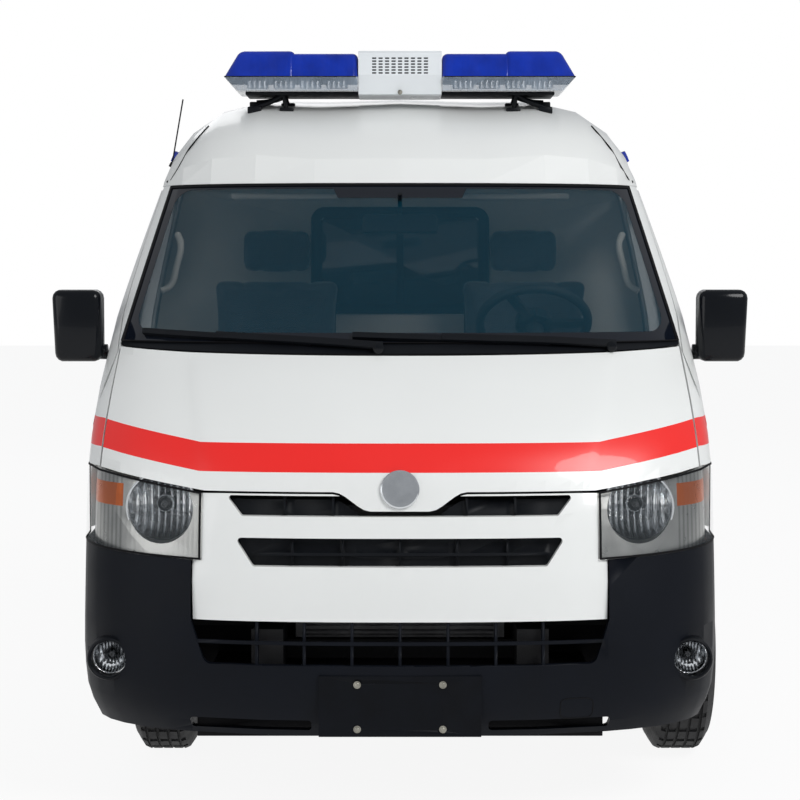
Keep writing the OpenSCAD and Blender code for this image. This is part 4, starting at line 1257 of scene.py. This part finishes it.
@dataclass
class FrontLamps:
    """Headlamps with a chromed bowl in a moulded housing, and fog lamps in round bezels.

    Attributes:
        bowl: The bowl's middle, as X, setback of its back and Z.
        radius: The radius of its bore in the housing.
        wall: How far the housing lies behind the lens.
        deep: The housing's depth.
        flutes: The pitch and the depth of the bowl's flutes.
        bowl_rings: The bowl's profile.
        bulb_rings: The bulb's profile.
        holder_rings: The profile of the bulb's holder.
        rim_rings: The profile of the rim round the bowl.
        fog: The fog lamp's middle, as X, setback of its face and Z.
        fog_back: How far its bowl's back lies behind its face.
        fog_rings: The profile of its bowl.
        bezel_rings: The profile of its bezel.
        fog_bulb_rings: The profile of its bulb.
    """

    bowl: tuple[float, float, float] = (0.690, 0.3445, 0.886)
    radius: float = 0.098
    wall: float = 0.026
    deep: float = 0.1
    flutes: tuple[float, float] = (0.018, 0.005)
    bowl_rings: Profile = ((0.014, 0), (0.04, 0.006), (0.064, 0.02), (0.083, 0.044), (0.094, 0.076),
                           (0.0985, 0.112), (0.101, 0.113))
    bulb_rings: Profile = ((0.016, 0), (0.016, 0.016), (0.01, 0.02), (0.01, 0.05), (0.006, 0.058),
                           (0.001, 0.06))
    holder_rings: Profile = ((0.017, 0.008), (0.017, 0.03), (0.022, 0.034), (0.026, 0.028), (0.026, 0.006))
    rim_rings: Profile = ((0.0985, 0), (0.1045, 0.002), (0.1045, 0.006), (0.0985, 0.008))
    fog: tuple[float, float, float] = (0.838, 0.190, 0.456)
    fog_back: float = 0.056
    fog_rings: Profile = ((0.008, 0), (0.028, 0.006), (0.042, 0.02), (0.049, 0.042), (0.05, 0.05))
    bezel_rings: Profile = ((0.0515, -0.03), (0.0515, 0.004), (0.055, 0.008), (0.06, 0.006),
                            (0.063, -0.002), (0.063, -0.05))
    fog_bulb_rings: Profile = ((0.008, 0), (0.008, 0.014), (0.004, 0.02), (0.001, 0.021))

    def build(self) -> None:
        """Builds both lamps of each kind."""
        place_piece(panel("lamp_lenses", "lamp_covers", 40), CLEAR, "body", "clear_lens", "lamp_lenses")
        gasket = edge_ring("lamp_lenses", "lamp_gaskets", self.hidden, 0.006)
        place_piece(smooth(thicken(gasket, 0.003, 0.0)), SEAL)
        self.housings()
        self.bowls()
        self.fogs()

    def hidden(self, face: bpy.types.MeshPolygon) -> bool:
        """Whether a face isn't on the outer skin of a headlamp lens."""
        side = math.copysign(1.0, face.center.x)
        return face.center.z <= 0.6 or face.normal.x * side * 0.7 - face.normal.y <= 0.35

    def housings(self) -> None:
        """Moulds the housings behind the lenses and opens them for the bowls."""
        shell = outer_skin("lamp_lenses", "lamp_housings", self.hidden)
        bpy.ops.transform.shrink_fatten(value=-self.wall)
        leave_edit()
        thicken(shell, self.deep)
        x, _, z = self.bowl
        bore = ((self.radius, 0), (self.radius, 0.32))
        for side in Side:
            cut(shell, turned("bore", bore, at(side.value * x, 0.02, z), Axis.Y))
        place_piece(smooth(shell, 24), HOUSING, "body", "lamp_chrome")

    def bowls(self) -> None:
        """Turns the reflector bowls, their bulbs, the bulbs' holders and the rims."""
        x, back, z = self.bowl
        place = at(x, back, z)
        bowl = turned("headlamp_bowl_left", self.bowl_rings, place, Axis.FRONT, 96, closed=False)
        self.flute(bowl, x)
        thicken(bowl, 0.0012)
        bulb = turned("headlamp_bulb_left", self.bulb_rings, place, Axis.FRONT, 32)
        holder = turned("headlamp_holder_left", self.holder_rings, place, Axis.FRONT, 40, closed=False)
        rim = turned("headlamp_ring_left", self.rim_rings, at(x, back - 0.106, z), Axis.FRONT, 72,
                     closed=False)
        for piece in (holder, rim):
            thicken(piece, 0.001)
        place_pair(bowl, CHROME, "lamp_chrome", "lamp_bowls")
        for piece, finish in ((bulb, BULB), (rim, SILVER), (holder, SILVER)):
            place_pair(piece, finish, "lamp_chrome")

    def flute(self, bowl: Object, middle: float) -> None:
        """Presses upright flutes into a bowl.

        Args:
            bowl: The bowl, before it gets its wall.
            middle: The X of its middle.
        """
        edit_all(bowl)
        bpy.ops.mesh.subdivide(number_cuts=2)
        leave_edit()
        pitch, depth = self.flutes
        for vertex in bowl.data.vertices:
            vertex.co.y += depth * abs(math.sin(math.pi * (vertex.co.x - middle) / pitch))
        smooth(bowl, 60)

    def fogs(self) -> None:
        """Turns the fog lamps' bowls, bezels and bulbs."""
        x, face, z = self.fog
        back = at(x, face + self.fog_back, z)
        bowl = turned("fog_bowl_left", self.fog_rings, back, Axis.FRONT, 48, closed=False)
        bezel = turned("fog_bezel_left", self.bezel_rings, at(x, face, z), Axis.FRONT, 56, closed=False)
        for piece in (bowl, bezel):
            thicken(piece, 0.0008)
        bulb = turned("fog_bulb_left", self.fog_bulb_rings, back, Axis.FRONT, 24)
        for piece, finish, slot in ((bowl, FOG_CHROME, "lamp_chrome"), (bezel, TRIM, "black_plastic"),
                                    (bulb, BULB, "lamp_chrome")):
            place_pair(piece, finish, slot)


@dataclass
class NoseTrim:
    """Small parts on the nose: the bonnet's disc, dark sheets that paint the shade behind the bumper's
    openings, plate, tow cover and wipers.

    Attributes:
        disc: The profile of the plain disc on the bonnet.
        disc_z: The disc's height.
        shade_sheets: Each dark sheet's name, lowest and highest corner, by setback; the sheets are painted
            shade behind the bumper's openings.
        bolts: The plate bolts' middle as X and Z, and their half spacing both ways.
        bolt: A bolt's profile, with its washer.
        seat: How far the plate is pressed back, so that its bolts stay flush.
        tow: The tow cover's lowest and highest X and Z.
        pivots: Where the wiper arms turn, as X and Z.
        cap: The profile of a pivot's cap.
    """

    disc: Profile = ((0.055, -0.004), (0.055, 0.003), (0.051, 0.006), (0.048, 0.0055), (0.016, 0.0065),
                     (0.002, 0.007))
    disc_z: float = 0.952
    shade_sheets: tuple[tuple[str, Point, Point], ...] = (
        ("intake_shade_sheet", (-0.64, 0.352, 0.30), (0.64, 0.358, 0.62)),
        ("lower_shade_sheet", (-0.58, 0.12, 0.24), (0.58, 0.126, 0.32)),
        ("intake_shade_tray", (-0.54, 0.09, 0.432), (0.54, 0.354, 0.438)))
    bolts: tuple[float, float, float, float] = (0.0, 0.351, 0.12, 0.063)
    bolt: Profile = ((0.0105, -0.002), (0.0105, 0.0015), (0.0062, 0.0016), (0.0062, 0.0038), (0.005, 0.0045))
    seat: float = 0.0066
    tow: tuple[float, float, float, float] = (0.452, 0.305, 0.546, 0.366)
    pivots: tuple[tuple[float, float], ...] = ((-0.064, 1.336), (0.640, 1.339))
    cap: Profile = ((0.016, -0.004), (0.016, 0.002), (0.012, 0.006), (0.004, 0.0075))

    def build(self) -> None:
        """Builds the small parts."""
        spot, facing = skin_hit("bonnet", (0, -FAR, self.disc_z), (0, 1, 0))
        place_piece(turned("bonnet_disc", self.disc, spot, facing, 56), SILVER, "bonnet", "lamp_chrome")
        # Dark sheets behind the bumper's openings: painted shade for the cavities behind them.
        for name, low, high in self.shade_sheets:
            place_piece(block(name, at(*low), at(*high), 0.002), SEAL)
        self.plate_bolts()
        self.tow_cover()
        self.wipers()

    def plate_bolts(self) -> None:
        """Sets four bolts with washers in the plate, and presses the plate back."""
        x, z, half_x, half_z = self.bolts
        aside = 0.02  # the rays pass beside the plate's holes
        heads = []
        for side_x in (-1, 1):
            for side_z in (-1, 1):
                start = (x + side_x * (half_x + aside), -FAR, z + side_z * half_z)
                spot = skin_point("plate", start, (0, 1, 0)) + Vector((-side_x * aside, self.seat, 0))
                heads.append(turned("bolt", self.bolt, spot, Axis.FRONT, 24))
        place_piece(joined(heads, "plate_bolts"), BOLT)
        board = panel("plate", "plate_panel")
        edit_all(board)
        bpy.ops.transform.translate(value=(0, self.seat - 0.0005, 0))
        leave_edit()
        place_piece(board, PLATE, "body", "black_plastic", "plate")

    def tow_cover(self) -> None:
        """Lays the seam of the tow-eye cover on the bumper."""
        x0, z0, x1, z1 = self.tow
        ring = []
        for wide, tall in rounded_square(0.45):
            x = (x0 + x1) / 2 + (x1 - x0) / 2 * wide
            z = (z0 + z1) / 2 + (z1 - z0) / 2 * tall
            ring.append(skin_point("bumper_front", (x, -FAR, z), (0, 1, 0)))
        place_piece(swept("tow_cover_seam", ring, 0.0016, 2), SEAL)

    def wipers(self) -> None:
        """Rounds the wipers' edges and caps their pivots."""
        arms = eased(panel("wipers", "wiper_arms"), 0.0014, 40)
        place_piece(smooth(arms), TRIM, "body", "black_plastic", "wipers")
        caps = []
        for x, z in self.pivots:
            spot = skin_point("wipers", (x, -FAR, z), (0, 1, 0))
            caps.append(turned("cap", self.cap, spot, Axis.FRONT, 28))
        place_piece(joined(caps, "wiper_pivot_caps"), GLOSS_TRIM)


@dataclass
class Cab:
    """Dashboard, steering wheel, padded seats, partition window, mirror and grab handles.

    Attributes:
        seat_x: How far each seat's middle lies off the centre line.
        seat_pivot: The setback and the height that a back leans about.
        lean: How far a back leans, in degrees.
        voxel: The grid that padding is meshed on.
        pressure: The pressure that swells it.
        steps: How many frames it swells for.
        grow: The most that it swells.
        groove: A sewn groove's share of the width, its half width and its depth.
        window: The partition window's half width, lowest and highest Z.
        wall: The setback of the partition's face.
        mirror: The inside mirror's half width, lowest and highest Z and setback.
    """

    seat_x: float = 0.430
    seat_pivot: tuple[float, float] = (1.415, 1.075)
    lean: float = 8
    voxel: float = 0.013
    pressure: float = 4.0
    steps: int = 20
    grow: float = 0.024
    groove: tuple[float, float, float] = (0.27, 0.016, 0.012)
    window: tuple[float, float, float] = (0.285, 1.440, 1.757)
    wall: float = 1.601
    mirror: tuple[float, float, float, float] = (0.122, 1.684, 1.748, 0.985)

    def build(self) -> None:
        """Builds the cab's pieces."""
        place_piece(panel("partition", "partition_panel"), BEIGE, "body", "cab_trim", "partition")
        place_piece(panel("steering_wheel", "steering_wheel_rim", 45), DASH, "steering_wheel", "dash_plastic",
                    "steering_wheel")
        self.dash()
        self.seats()
        self.partition_window()
        self.mirror_and_handles()

    def dash(self) -> None:
        """Rounds the dashboard and adds its hood and demister slots."""
        top = eased(panel("dashboard", "dash_moulding"), 0.012, 40, 3)
        place_piece(smooth(top), DASH, "body", "dash_plastic", "dashboard")
        hood = block("dash_hood", at(0.27, 0.80, 1.262), at(0.61, 0.97, 1.318), 0.018, 4)
        place_piece(hood, DASH, "body", "dash_plastic")
        vents = []
        for x in (-0.66, -0.33, 0.0, 0.33, 0.66):
            for k in range(3):
                s = 0.762 + 0.012 * k
                vents.append(block("slot", at(x - 0.11, s, 1.284), at(x + 0.11, s + 0.006, 1.2895), 0.001, 1))
        place_piece(joined(vents, "dash_demister_slots"), SEAL)

    def cushion(self, name: str, low: Point, high: Point, pivot: Point, lean: float) -> Object:
        """A stuffed form, swelled by cloth under pressure from a rounded block.

        Args:
            name: The piece's name.
            low: Its lowest corner, from the pivot.
            high: Its highest corner, from the pivot.
            pivot: The place it leans about.
            lean: How far it leans back, in degrees.

        Returns:
            The new object.
        """
        pad = block(name, low, high, 0.028, 3)
        pad.data.remesh_voxel_size = self.voxel
        take(pad)
        bpy.ops.object.voxel_remesh()
        before = [vertex.co.copy() for vertex in pad.data.vertices]
        scene = bpy.context.scene
        cloth = pad.modifiers.new("stuffing", "CLOTH")
        cloth.settings.use_pressure = True
        cloth.settings.uniform_pressure_force = self.pressure
        cloth.settings.effector_weights.gravity = 0.0
        cloth.point_cache.frame_end = self.steps
        for step in range(1, self.steps + 1):
            scene.frame_set(step)
        take(pad)
        bpy.ops.object.modifier_apply(modifier=cloth.name)
        scene.frame_set(1)
        middle = Vector([(a + b) / 2 for a, b in zip(low, high)])
        share, half, depth = self.groove
        for vertex, start in zip(pad.data.vertices, before):
            moved = vertex.co - start
            if moved.length > self.grow:
                moved = moved.normalized() * self.grow
            away = min(abs(abs(start.x - middle.x) - (high[0] - low[0]) * share) / half, 1.0)
            vertex.co = start + moved + (middle - start).normalized() * depth * (1.0 - away) ** 2
        use_modifier(pad, "SUBSURF", levels=1, render_levels=1)
        pad.rotation_euler = (-math.radians(lean), 0, 0)
        pad.location = pivot
        return smooth(settle(pad), 60)

    def seats(self) -> None:
        """Builds the driver's seat and copies it to the other side."""
        back = at(0, *self.seat_pivot)
        pads = [self.cushion(name, low, high, pivot, lean) for name, low, high, pivot, lean in (
            ("seat_cushion_left", (-0.225, -0.205, -0.058), (0.225, 0.205, 0.058), at(0, 1.335, 1.01), 3),
            ("seat_back_left", (-0.225, -0.05, 0.0), (0.225, 0.05, 0.475), back, self.lean),
            ("headrest_left", (-0.115, -0.04, 0.492), (0.115, 0.04, 0.632), back, self.lean),
        )]
        posts = []
        for x in (-0.06, 0.06):
            post = turned("post", [(0.007, 0.45), (0.007, 0.53)], (0, 0, 0), Axis.Z, 16)
            post.rotation_euler = (-math.radians(self.lean), 0, 0)
            post.location = (x, back[1], back[2])
            posts.append(settle(post))
        posts = joined(posts, "headrest_posts_left")
        base = block("seat_base_left", at(-0.2, 1.16, 0.81), at(0.2, 1.54, 0.955), 0.012, 3)
        shell = block("seat_shell_left", at(-0.205, 1.452, 1.09), at(0.205, 1.484, 1.5), 0.014, 3)
        shell.rotation_euler = (-math.radians(self.lean), 0, 0)
        pivot = Vector(back)
        shell.location = pivot - shell.rotation_euler.to_matrix() @ pivot
        settle(shell)
        for piece, finish, slot in (*((pad, CLOTH, "seat_fabric") for pad in pads),
                                    (posts, STEEL, "rim_silver"), (base, DASH, "dash_plastic"),
                                    (shell, DASH, "dash_plastic")):
            other = copy_of(piece, piece.name.replace("left", "right"))
            for made, side in ((piece, Side.LEFT), (other, Side.RIGHT)):
                made.location = (side.value * self.seat_x, 0, 0)
                settle(made)
                place_piece(made, finish, "body", slot, *(("seats",) if piece is pads[0] else ()))

    def partition_window(self) -> None:
        """Frames the partition's window and divides it in two."""
        half, low, high = self.window
        face = self.wall - NOSE - 0.008
        lap = 0.03
        ring = plate("partition_window_frame", (-half - lap, low - lap), (half + lap, high + lap), 0.05, 0.02,
                     face, 0.036)
        bar = block("partition_window_bar", (-0.012, face, low), (0.012, face + 0.02, high), 0.002)
        pane = plate("partition_window_pane", (-half, low), (half, high), 0.02, 0.004, face + 0.014)
        for piece, finish in ((ring, SEAL), (bar, SEAL), (pane, PRIVACY)):
            place_piece(piece, finish, "body", "dark_glass" if piece is pane else "black_plastic")

    def mirror_and_handles(self) -> None:
        """Hangs the inside mirror, two sun visors and a grab handle on each pillar."""
        half, low, high, s = self.mirror
        case = block("inside_mirror", at(-half, s, low), at(half, s + 0.03, high), 0.012, 4)
        place_piece(case, GLOSS_TRIM)
        lip = 0.006
        face = plate("inside_mirror_glass", (-half + lip, low + lip), (half - lip, high - lip), 0.014, 0.002,
                     s + 0.0295 - NOSE)
        place_piece(face, MIRROR, "body", "lamp_chrome")
        stem = swept("inside_mirror_stem", [at(0, s + 0.012, high - 0.008), at(0, s - 0.01, high + 0.03),
                                            at(0, 0.948, 1.812)], 0.007)
        place_piece(stem, GLOSS_TRIM)
        for side in Side:
            x = side.value
            visor = block(f"sun_visor_{side.word}", at(min(x * 0.2, x * 0.56), 1.12, 1.80),
                          at(max(x * 0.2, x * 0.56), 1.26, 1.82), 0.008, 3)
            place_piece(visor, BEIGE, "body", "cab_trim")
            grip = swept(f"grab_handle_{side.word}", [
                at(x * 0.775, 0.99, 1.50), at(x * 0.748, 1.0, 1.515), at(x * 0.728, 1.015, 1.58),
                at(x * 0.715, 1.03, 1.65), at(x * 0.728, 1.05, 1.685)], 0.011)
            place_piece(grip, BEIGE, "body", "cab_trim")


@dataclass
class SideDetail:
    """Handles, seals, rail, fuel flap, gutters and mirror glass on the vehicle's sides.

    Attributes:
        handle: A handle's length, height and stand-off.
        rail: The sliding door rail's first and last setback and its height.
        flap: The fuel flap's setback, height and half size.
        eave: The height of the roof seam.
    """

    handle: tuple[float, float, float] = (0.17, 0.034, 0.022)
    rail: tuple[float, float, float] = (2.93, 4.30, 1.215)
    flap: tuple[float, float, float] = (2.15, 0.93, 0.085)
    eave: float = 1.846

    def build(self) -> None:
        """Builds the detail of both sides."""
        self.grip("door_handle_left", "door_left", Side.LEFT, 1.44, 1.185, "door_left")
        self.grip("door_handle_right", "door_right", Side.RIGHT, 1.44, 1.185, "door_right")
        self.grip("sliding_door_handle", "sliding_door", Side.RIGHT, 1.83, 1.185, "body")
        self.seals()
        self.sliding_rail()
        self.fuel_flap()
        self.gutters()
        self.mirror_glass()

    def grip(self, name: str, node: str, side: Side, s: float, z: float, body: str) -> None:
        """A pull handle with its dark cup, on one door.

        Args:
            name: The piece's name.
            node: The door's node.
            side: The vehicle's side.
            s: The setback of the handle's middle.
            z: Its height.
            body: The body it rides on.
        """
        long, tall, proud = self.handle
        x = abs(skin_point(node, at(side.value * BESIDE, s, z), (-side.value, 0, 0)).x)
        cup = block(f"{name}_cup", at(x - 0.004, s - long / 2, z - tall),
                    at(x + 0.0015, s + long / 2, z + tall * 0.8), 0.001, 1)
        bar = block(name, at(x + 0.010, s - long / 2 + 0.006, z - tall / 2),
                    at(x + proud, s + long / 2 - 0.006, z + tall / 2), 0.006, 3)
        feet = [block("foot", at(x, s + sign * long * 0.38 - 0.012, z - tall * 0.4),
                      at(x + 0.014, s + sign * long * 0.38 + 0.012, z + tall * 0.4)) for sign in (-1, 1)]
        bar = joined([bar, *feet], name)
        for piece, finish in ((cup, SEAL), (bar, TRIM)):
            if side is Side.RIGHT:
                flipped(piece)
            place_piece(piece, finish, body)

    def seals(self) -> None:
        """Runs a rubber seal round every pane."""
        for node, body, axis in (("side_glass", "body", 0), ("glass_left", "door_left", 0),
                                 ("glass_right", "door_right", 0), ("gate_glass", "tailgate", 1),
                                 ("windscreen", "body", -1)):
            def hidden(face: bpy.types.MeshPolygon, axis: int = axis) -> bool:
                """Whether a face isn't on the pane's outer skin."""
                if axis == 0:
                    return face.normal.x * math.copysign(1.0, face.center.x) < 0.6
                return face.normal.y * axis < 0.25

            ring = edge_ring(node, f"{node}_seal", hidden, 0.012)
            place_piece(smooth(thicken(ring, 0.004, 0.6)), SEAL, body)

    def sliding_rail(self) -> None:
        """Lays the sliding door's rail in the right side."""
        first, last, z = self.rail
        stations = [first + (last - first) * k / 6 for k in range(7)]
        x = min(skin_point("side_right", at(-BESIDE, s, z), (1, 0, 0)).x for s in stations)
        lips = [block("lip", at(x - 0.003, first, z + off), at(x + 0.006, last, z + off + 0.006), 0.0015)
                for off in (-0.02, 0.014)]
        web = block("web", at(x - 0.0012, first + 0.002, z - 0.016), at(x + 0.006, last - 0.002, z + 0.016),
                    0.0005, 1)
        place_piece(joined(lips, "sliding_rail_lips"), PLAIN_PAINT, "body", "paint")
        place_piece(web, SEAL)

    def fuel_flap(self) -> None:
        """Draws the fuel flap's seam on the left side."""
        s, z, half = self.flap
        ring = [skin_point("side_left", at(BESIDE, s + half * wide, z + half * tall), (-1, 0, 0))
                for wide, tall in rounded_square(0.4)]
        place_piece(swept("fuel_flap_seam", ring, 0.0018, 2), SEAL)

    def gutters(self) -> None:
        """Runs a rain gutter along each roof seam, and up the roof's front a black rod whose colour paints
        the shadow in the roof's crease.
        """
        for side in Side:
            sign = side.value
            line = [skin_point("roof", at(sign * BESIDE, 1.30 + 0.3 * k, self.eave + 0.018), (-sign, 0, 0))
                    for k in range(14)]
            place_piece(swept(f"roof_gutter_{side.word}", line, 0.005, 2), SEAL)
            # The crease is real, but it is drawn as a black rod: painted shadow on the white roof.
            rise = [skin_point("roof", (sign * (0.775 - 0.019 * k), -FAR, 1.868 + 0.026 * k), (0, 1, 0))
                    for k in range(7)]
            for spot in rise:
                spot.z += roof_lift(spot)
            place_piece(swept(f"roof_bead_{side.word}", rise, 0.0026, 2), SEAL)

    def mirror_glass(self) -> None:
        """Sets glass in the back of each door mirror."""
        for side in Side:
            node = f"mirror_{side.word}"
            x0, x1 = sorted((side.value * 0.955, side.value * 1.078))
            face = skin_point(node, ((x0 + x1) / 2, FAR, 1.43), (0, -1, 0)).y - 0.0025
            for word, low, high, corner in (("glass", 1.372, 1.494, 0.022),
                                            ("wide_glass", 1.292, 1.352, 0.018)):
                pane = plate(f"mirror_{word}_{side.word}", (x0, low), (x1, high), corner, 0.004, face)
                place_piece(pane, MIRROR, f"door_{side.word}", "lamp_chrome")


@dataclass
class Rear:
    """Tail lamps in three sections, and the tailgate's handle and plate lamps.

    Attributes:
        handle_z: The height of the tailgate's handle.
    """

    handle_z: float = 1.17

    def build(self) -> None:
        """Builds the back's detail."""
        lamps = eased(panel("tail_lamps", "tail_lamp_lenses"), 0.003, 50)
        place_piece(smooth(lamps), TAIL_LENS, "body", "red_lens", "tail_lamps")
        z = self.handle_z
        y = skin_point("tailgate", (0, FAR, z), (0, -1, 0)).y
        bar = block("tailgate_handle", (-0.24, y - 0.004, z - 0.03), (0.24, y + 0.02, z + 0.03), 0.007, 3)
        place_piece(bar, TRIM, "tailgate")
        lamps = [block("lamp", (x - 0.04, y, z - 0.034), (x + 0.04, y + 0.017, z - 0.02))
                 for x in (-0.14, 0.14)]
        place_piece(joined(lamps, "plate_lamps"), ICE_LENS, "tailgate", "clear_lens")


@dataclass
class Wheels:
    """Tyres with a grooved tread, steel rims, wheel nuts and hub caps.

    Attributes:
        radius: The tyre's radius.
        track: How far a wheel's middle lies off the centre line.
        hub_z: The axle's height.
        sides: How many sides the tyre's rings have.
        grooves: Where the tread's grooves run.
        groove: A groove's depth, and its half width at the bottom and at the top.
        wall: The profile of one side wall.
        nuts: How many nuts hold a rim.
        nut_ring: The radius they stand at.
        nut: A nut's profile.
        cap: The hub cap's profile.
        cap_seat: The radius at which the cap meets the rim.
    """

    radius: float = 0.345
    track: float = 0.8275
    hub_z: float = 0.345
    sides: int = 96
    grooves: tuple[float, ...] = (-0.05, -0.017, 0.017, 0.05)
    groove: tuple[float, float, float] = (0.008, 0.0035, 0.005)
    wall: Profile = ((0.192, -0.072), (0.2, -0.083), (0.212, -0.0885), (0.219, -0.087), (0.245, -0.093),
                     (0.276, -0.0975), (0.3, -0.0942), (0.304, -0.0912), (0.32, -0.082))
    nuts: int = 6
    nut_ring: float = 0.066
    nut: Profile = ((0.015, -0.004), (0.014, 0.003), (0.0105, 0.004), (0.0105, 0.014), (0.007, 0.018))
    cap: Profile = ((0.042, -0.004), (0.042, 0.003), (0.036, 0.014), (0.03, 0.018), (0.002, 0.02))
    cap_seat: float = 0.048

    def build(self) -> None:
        """Dresses the four wheels."""
        pattern = self.tyre()
        for corner, axle, side in (("fl", 0, Side.LEFT), ("fr", 0, Side.RIGHT), ("rl", 1, Side.LEFT),
                                   ("rr", 1, Side.RIGHT)):
            y = AXLES[axle] - NOSE
            tyre = copy_of(pattern, f"tyre_tread_{corner}")
            tyre.location = (side.value * self.track, y, self.hub_z)
            place_piece(settle(tyre), TREADS[axle], f"wheel_{corner}", "tyre_rubber", f"tyre_{corner}")
            rim = panel(f"rim_{corner}", f"rim_disc_{corner}", 35)
            place_piece(rim, STEEL, f"wheel_{corner}", "rim_silver", f"rim_{corner}")
            self.fasteners(corner, y, side)
        bpy.data.objects.remove(pattern)

    def tyre(self) -> Object:
        """Turns one tyre about X, with four grooves in its tread.

        Returns:
            The tyre, with its first ring at the origin.
        """
        depth, bottom, top = self.groove
        tread = [(self.radius - 0.006, -0.069)]
        for middle in self.grooves:
            tread += [(self.radius, middle - top), (self.radius - depth, middle - bottom),
                      (self.radius - depth, middle + bottom), (self.radius, middle + top)]
        tread.append((self.radius - 0.006, 0.069))
        other = [(radius, -height) for radius, height in reversed(self.wall)]
        made = turned("tyre", [*self.wall, *tread, *other, self.wall[0]], (0, 0, 0), Axis.X, self.sides,
                      closed=False)
        edit_all(made)
        bpy.ops.mesh.remove_doubles(threshold=MERGE)
        bpy.ops.mesh.normals_make_consistent(inside=False)
        leave_edit()

        def crossed(face: bpy.types.MeshPolygon) -> bool:
            """Whether a face of the tread is a cross cut."""
            _, y, z = face.center
            sector = int((math.atan2(z, y) / math.tau + 1.0) * self.sides)
            return math.hypot(y, z) > self.radius - 0.004 and (sector + (face.center.x > 0)) % 3 == 0

        pick_faces(made, crossed)
        bpy.ops.mesh.inset(thickness=0.0016, depth=-0.006)
        leave_edit()
        return smooth(made, 38)

    def fasteners(self, corner: str, y: float, side: Side) -> None:
        """Turns a rim's nuts and hub cap.

        Args:
            corner: The wheel's short name.
            y: The axle's place.
            side: The vehicle's side.
        """
        node, sign = f"rim_{corner}", side.value
        out = Axis.X if sign > 0 else Axis.LEFTWARD
        parts = []
        for k in range(self.nuts):
            turn = 2 * math.pi * k / self.nuts
            start = (sign * BESIDE, y + self.nut_ring * math.cos(turn),
                     self.hub_z + self.nut_ring * math.sin(turn))
            parts.append(turned("nut", self.nut, skin_point(node, start, (-sign, 0, 0)), out, 6))
        spot = skin_point(node, (sign * BESIDE, y + self.cap_seat, self.hub_z), (-sign, 0, 0))
        spot.y = y
        parts.append(turned("cap", self.cap, spot, out, 40))
        place_piece(joined(parts, f"wheel_nuts_{corner}"), BOLT, f"wheel_{corner}", "rim_silver")


@dataclass
class Studio:
    """Pale floor, soft light and the camera.

    Attributes:
        lens: The camera's focal length in millimetres.
        stand: Where the camera stands.
        pitch: How far it looks down, in degrees.
    """

    lens: float = 91.17
    stand: tuple[float, float, float] = (0.0, -8.2752, 1.597)
    pitch: float = 3.929

    def build(self) -> None:
        """Makes the floor, the light and the camera."""
        self.floor()
        self.world()
        self.lamp("key", (4.6, -6.5, 6.0), (0.0, -1.5, 1.1), 4.0, 400)
        self.lamp("fill", (-6.0, -6.0, 3.2), (0.0, -1.5, 1.0), 5.0, 110)
        self.lamp("rim", (-1.0, 6.5, 5.5), (0.0, 1.0, 1.2), 5.0, 90)
        self.camera()

    def floor(self) -> None:
        """Lays a pale floor that keeps the shadow."""
        clear_selection()
        bpy.ops.mesh.primitive_plane_add(size=60)
        ground = newest("floor")
        tree = Tree("floor_white")
        tree.shader.inputs["Base Color"].default_value = (0.88, 0.88, 0.88, 1)
        tree.shader.inputs["Roughness"].default_value = 0.9
        glow = tree.node("ShaderNodeEmission")
        path = tree.node("ShaderNodeLightPath")
        seen = tree.math("MAXIMUM", path.outputs["Is Camera Ray"], path.outputs["Is Glossy Ray"])
        blend = tree.node("ShaderNodeMixShader")
        tree.feed(blend.inputs[0], tree.math("MULTIPLY", seen, 0.91))
        tree.links.new(tree.shader.outputs[0], blend.inputs[1])
        tree.links.new(glow.outputs[0], blend.inputs[2])
        tree.links.new(blend.outputs[0], tree.nodes["Material Output"].inputs["Surface"])
        ground.data.materials.append(tree.made)

    def world(self) -> None:
        """Lights the scene from all round and shows white behind it."""
        world = bpy.data.worlds.new("studio")
        bpy.context.scene.world = world
        world.use_nodes = True
        nodes, links = world.node_tree.nodes, world.node_tree.links
        soft = nodes["Background"]
        soft.inputs["Color"].default_value = (0.93, 0.96, 1.0, 1)
        soft.inputs["Strength"].default_value = 0.42
        white = nodes.new("ShaderNodeBackground")
        white.inputs["Color"].default_value = (1, 1, 1, 1)
        path = nodes.new("ShaderNodeLightPath")
        seen = nodes.new("ShaderNodeMath")
        seen.operation = "MAXIMUM"
        blend = nodes.new("ShaderNodeMixShader")
        for source, target in (
            (path.outputs["Is Camera Ray"], seen.inputs[0]),
            (path.outputs["Is Transmission Ray"], seen.inputs[1]),
            (seen.outputs[0], blend.inputs[0]),
            (soft.outputs[0], blend.inputs[1]),
            (white.outputs[0], blend.inputs[2]),
            (blend.outputs[0], nodes["World Output"].inputs["Surface"]),
        ):
            links.new(source, target)

    def lamp(self, name: str, place: Point, target: Point, size: float, power: float) -> None:
        """Adds one soft lamp.

        Args:
            name: The lamp's name.
            place: Where it stands.
            target: What it points at.
            size: Its width.
            power: Its power in watts.
        """
        clear_selection()
        bpy.ops.object.light_add(type="AREA", location=place)
        light = bpy.context.view_layer.objects.active
        light.name = name
        light.data.shape = "DISK"
        light.data.size = size
        light.data.energy = power
        light.rotation_euler = (Vector(target) - Vector(place)).to_track_quat("-Z", "Y").to_euler()

    def camera(self) -> None:
        """Stands the camera at the photograph's place."""
        clear_selection()
        bpy.ops.object.camera_add(location=self.stand, rotation=(math.radians(90 - self.pitch), 0, 0))
        camera = bpy.context.view_layer.objects.active
        camera.data.lens = self.lens
        camera.data.sensor_width = 36
        bpy.context.scene.camera = camera


def main() -> None:
    """Builds every sub-assembly in order and reports its pieces."""
    logging.basicConfig(level=logging.INFO, format="%(name)s %(message)s")
    bpy.context.scene.view_settings.view_transform = "Standard"
    for part in (PlainNodes(), BodyShell(), LightBar(), FrontLamps(), NoseTrim(), Cab(), SideDetail(), Rear(),
                 Wheels(), Studio()):
        LOG.info("building %s", type(part).__name__)
        part.build()


if __name__ == "__main__":
    main()
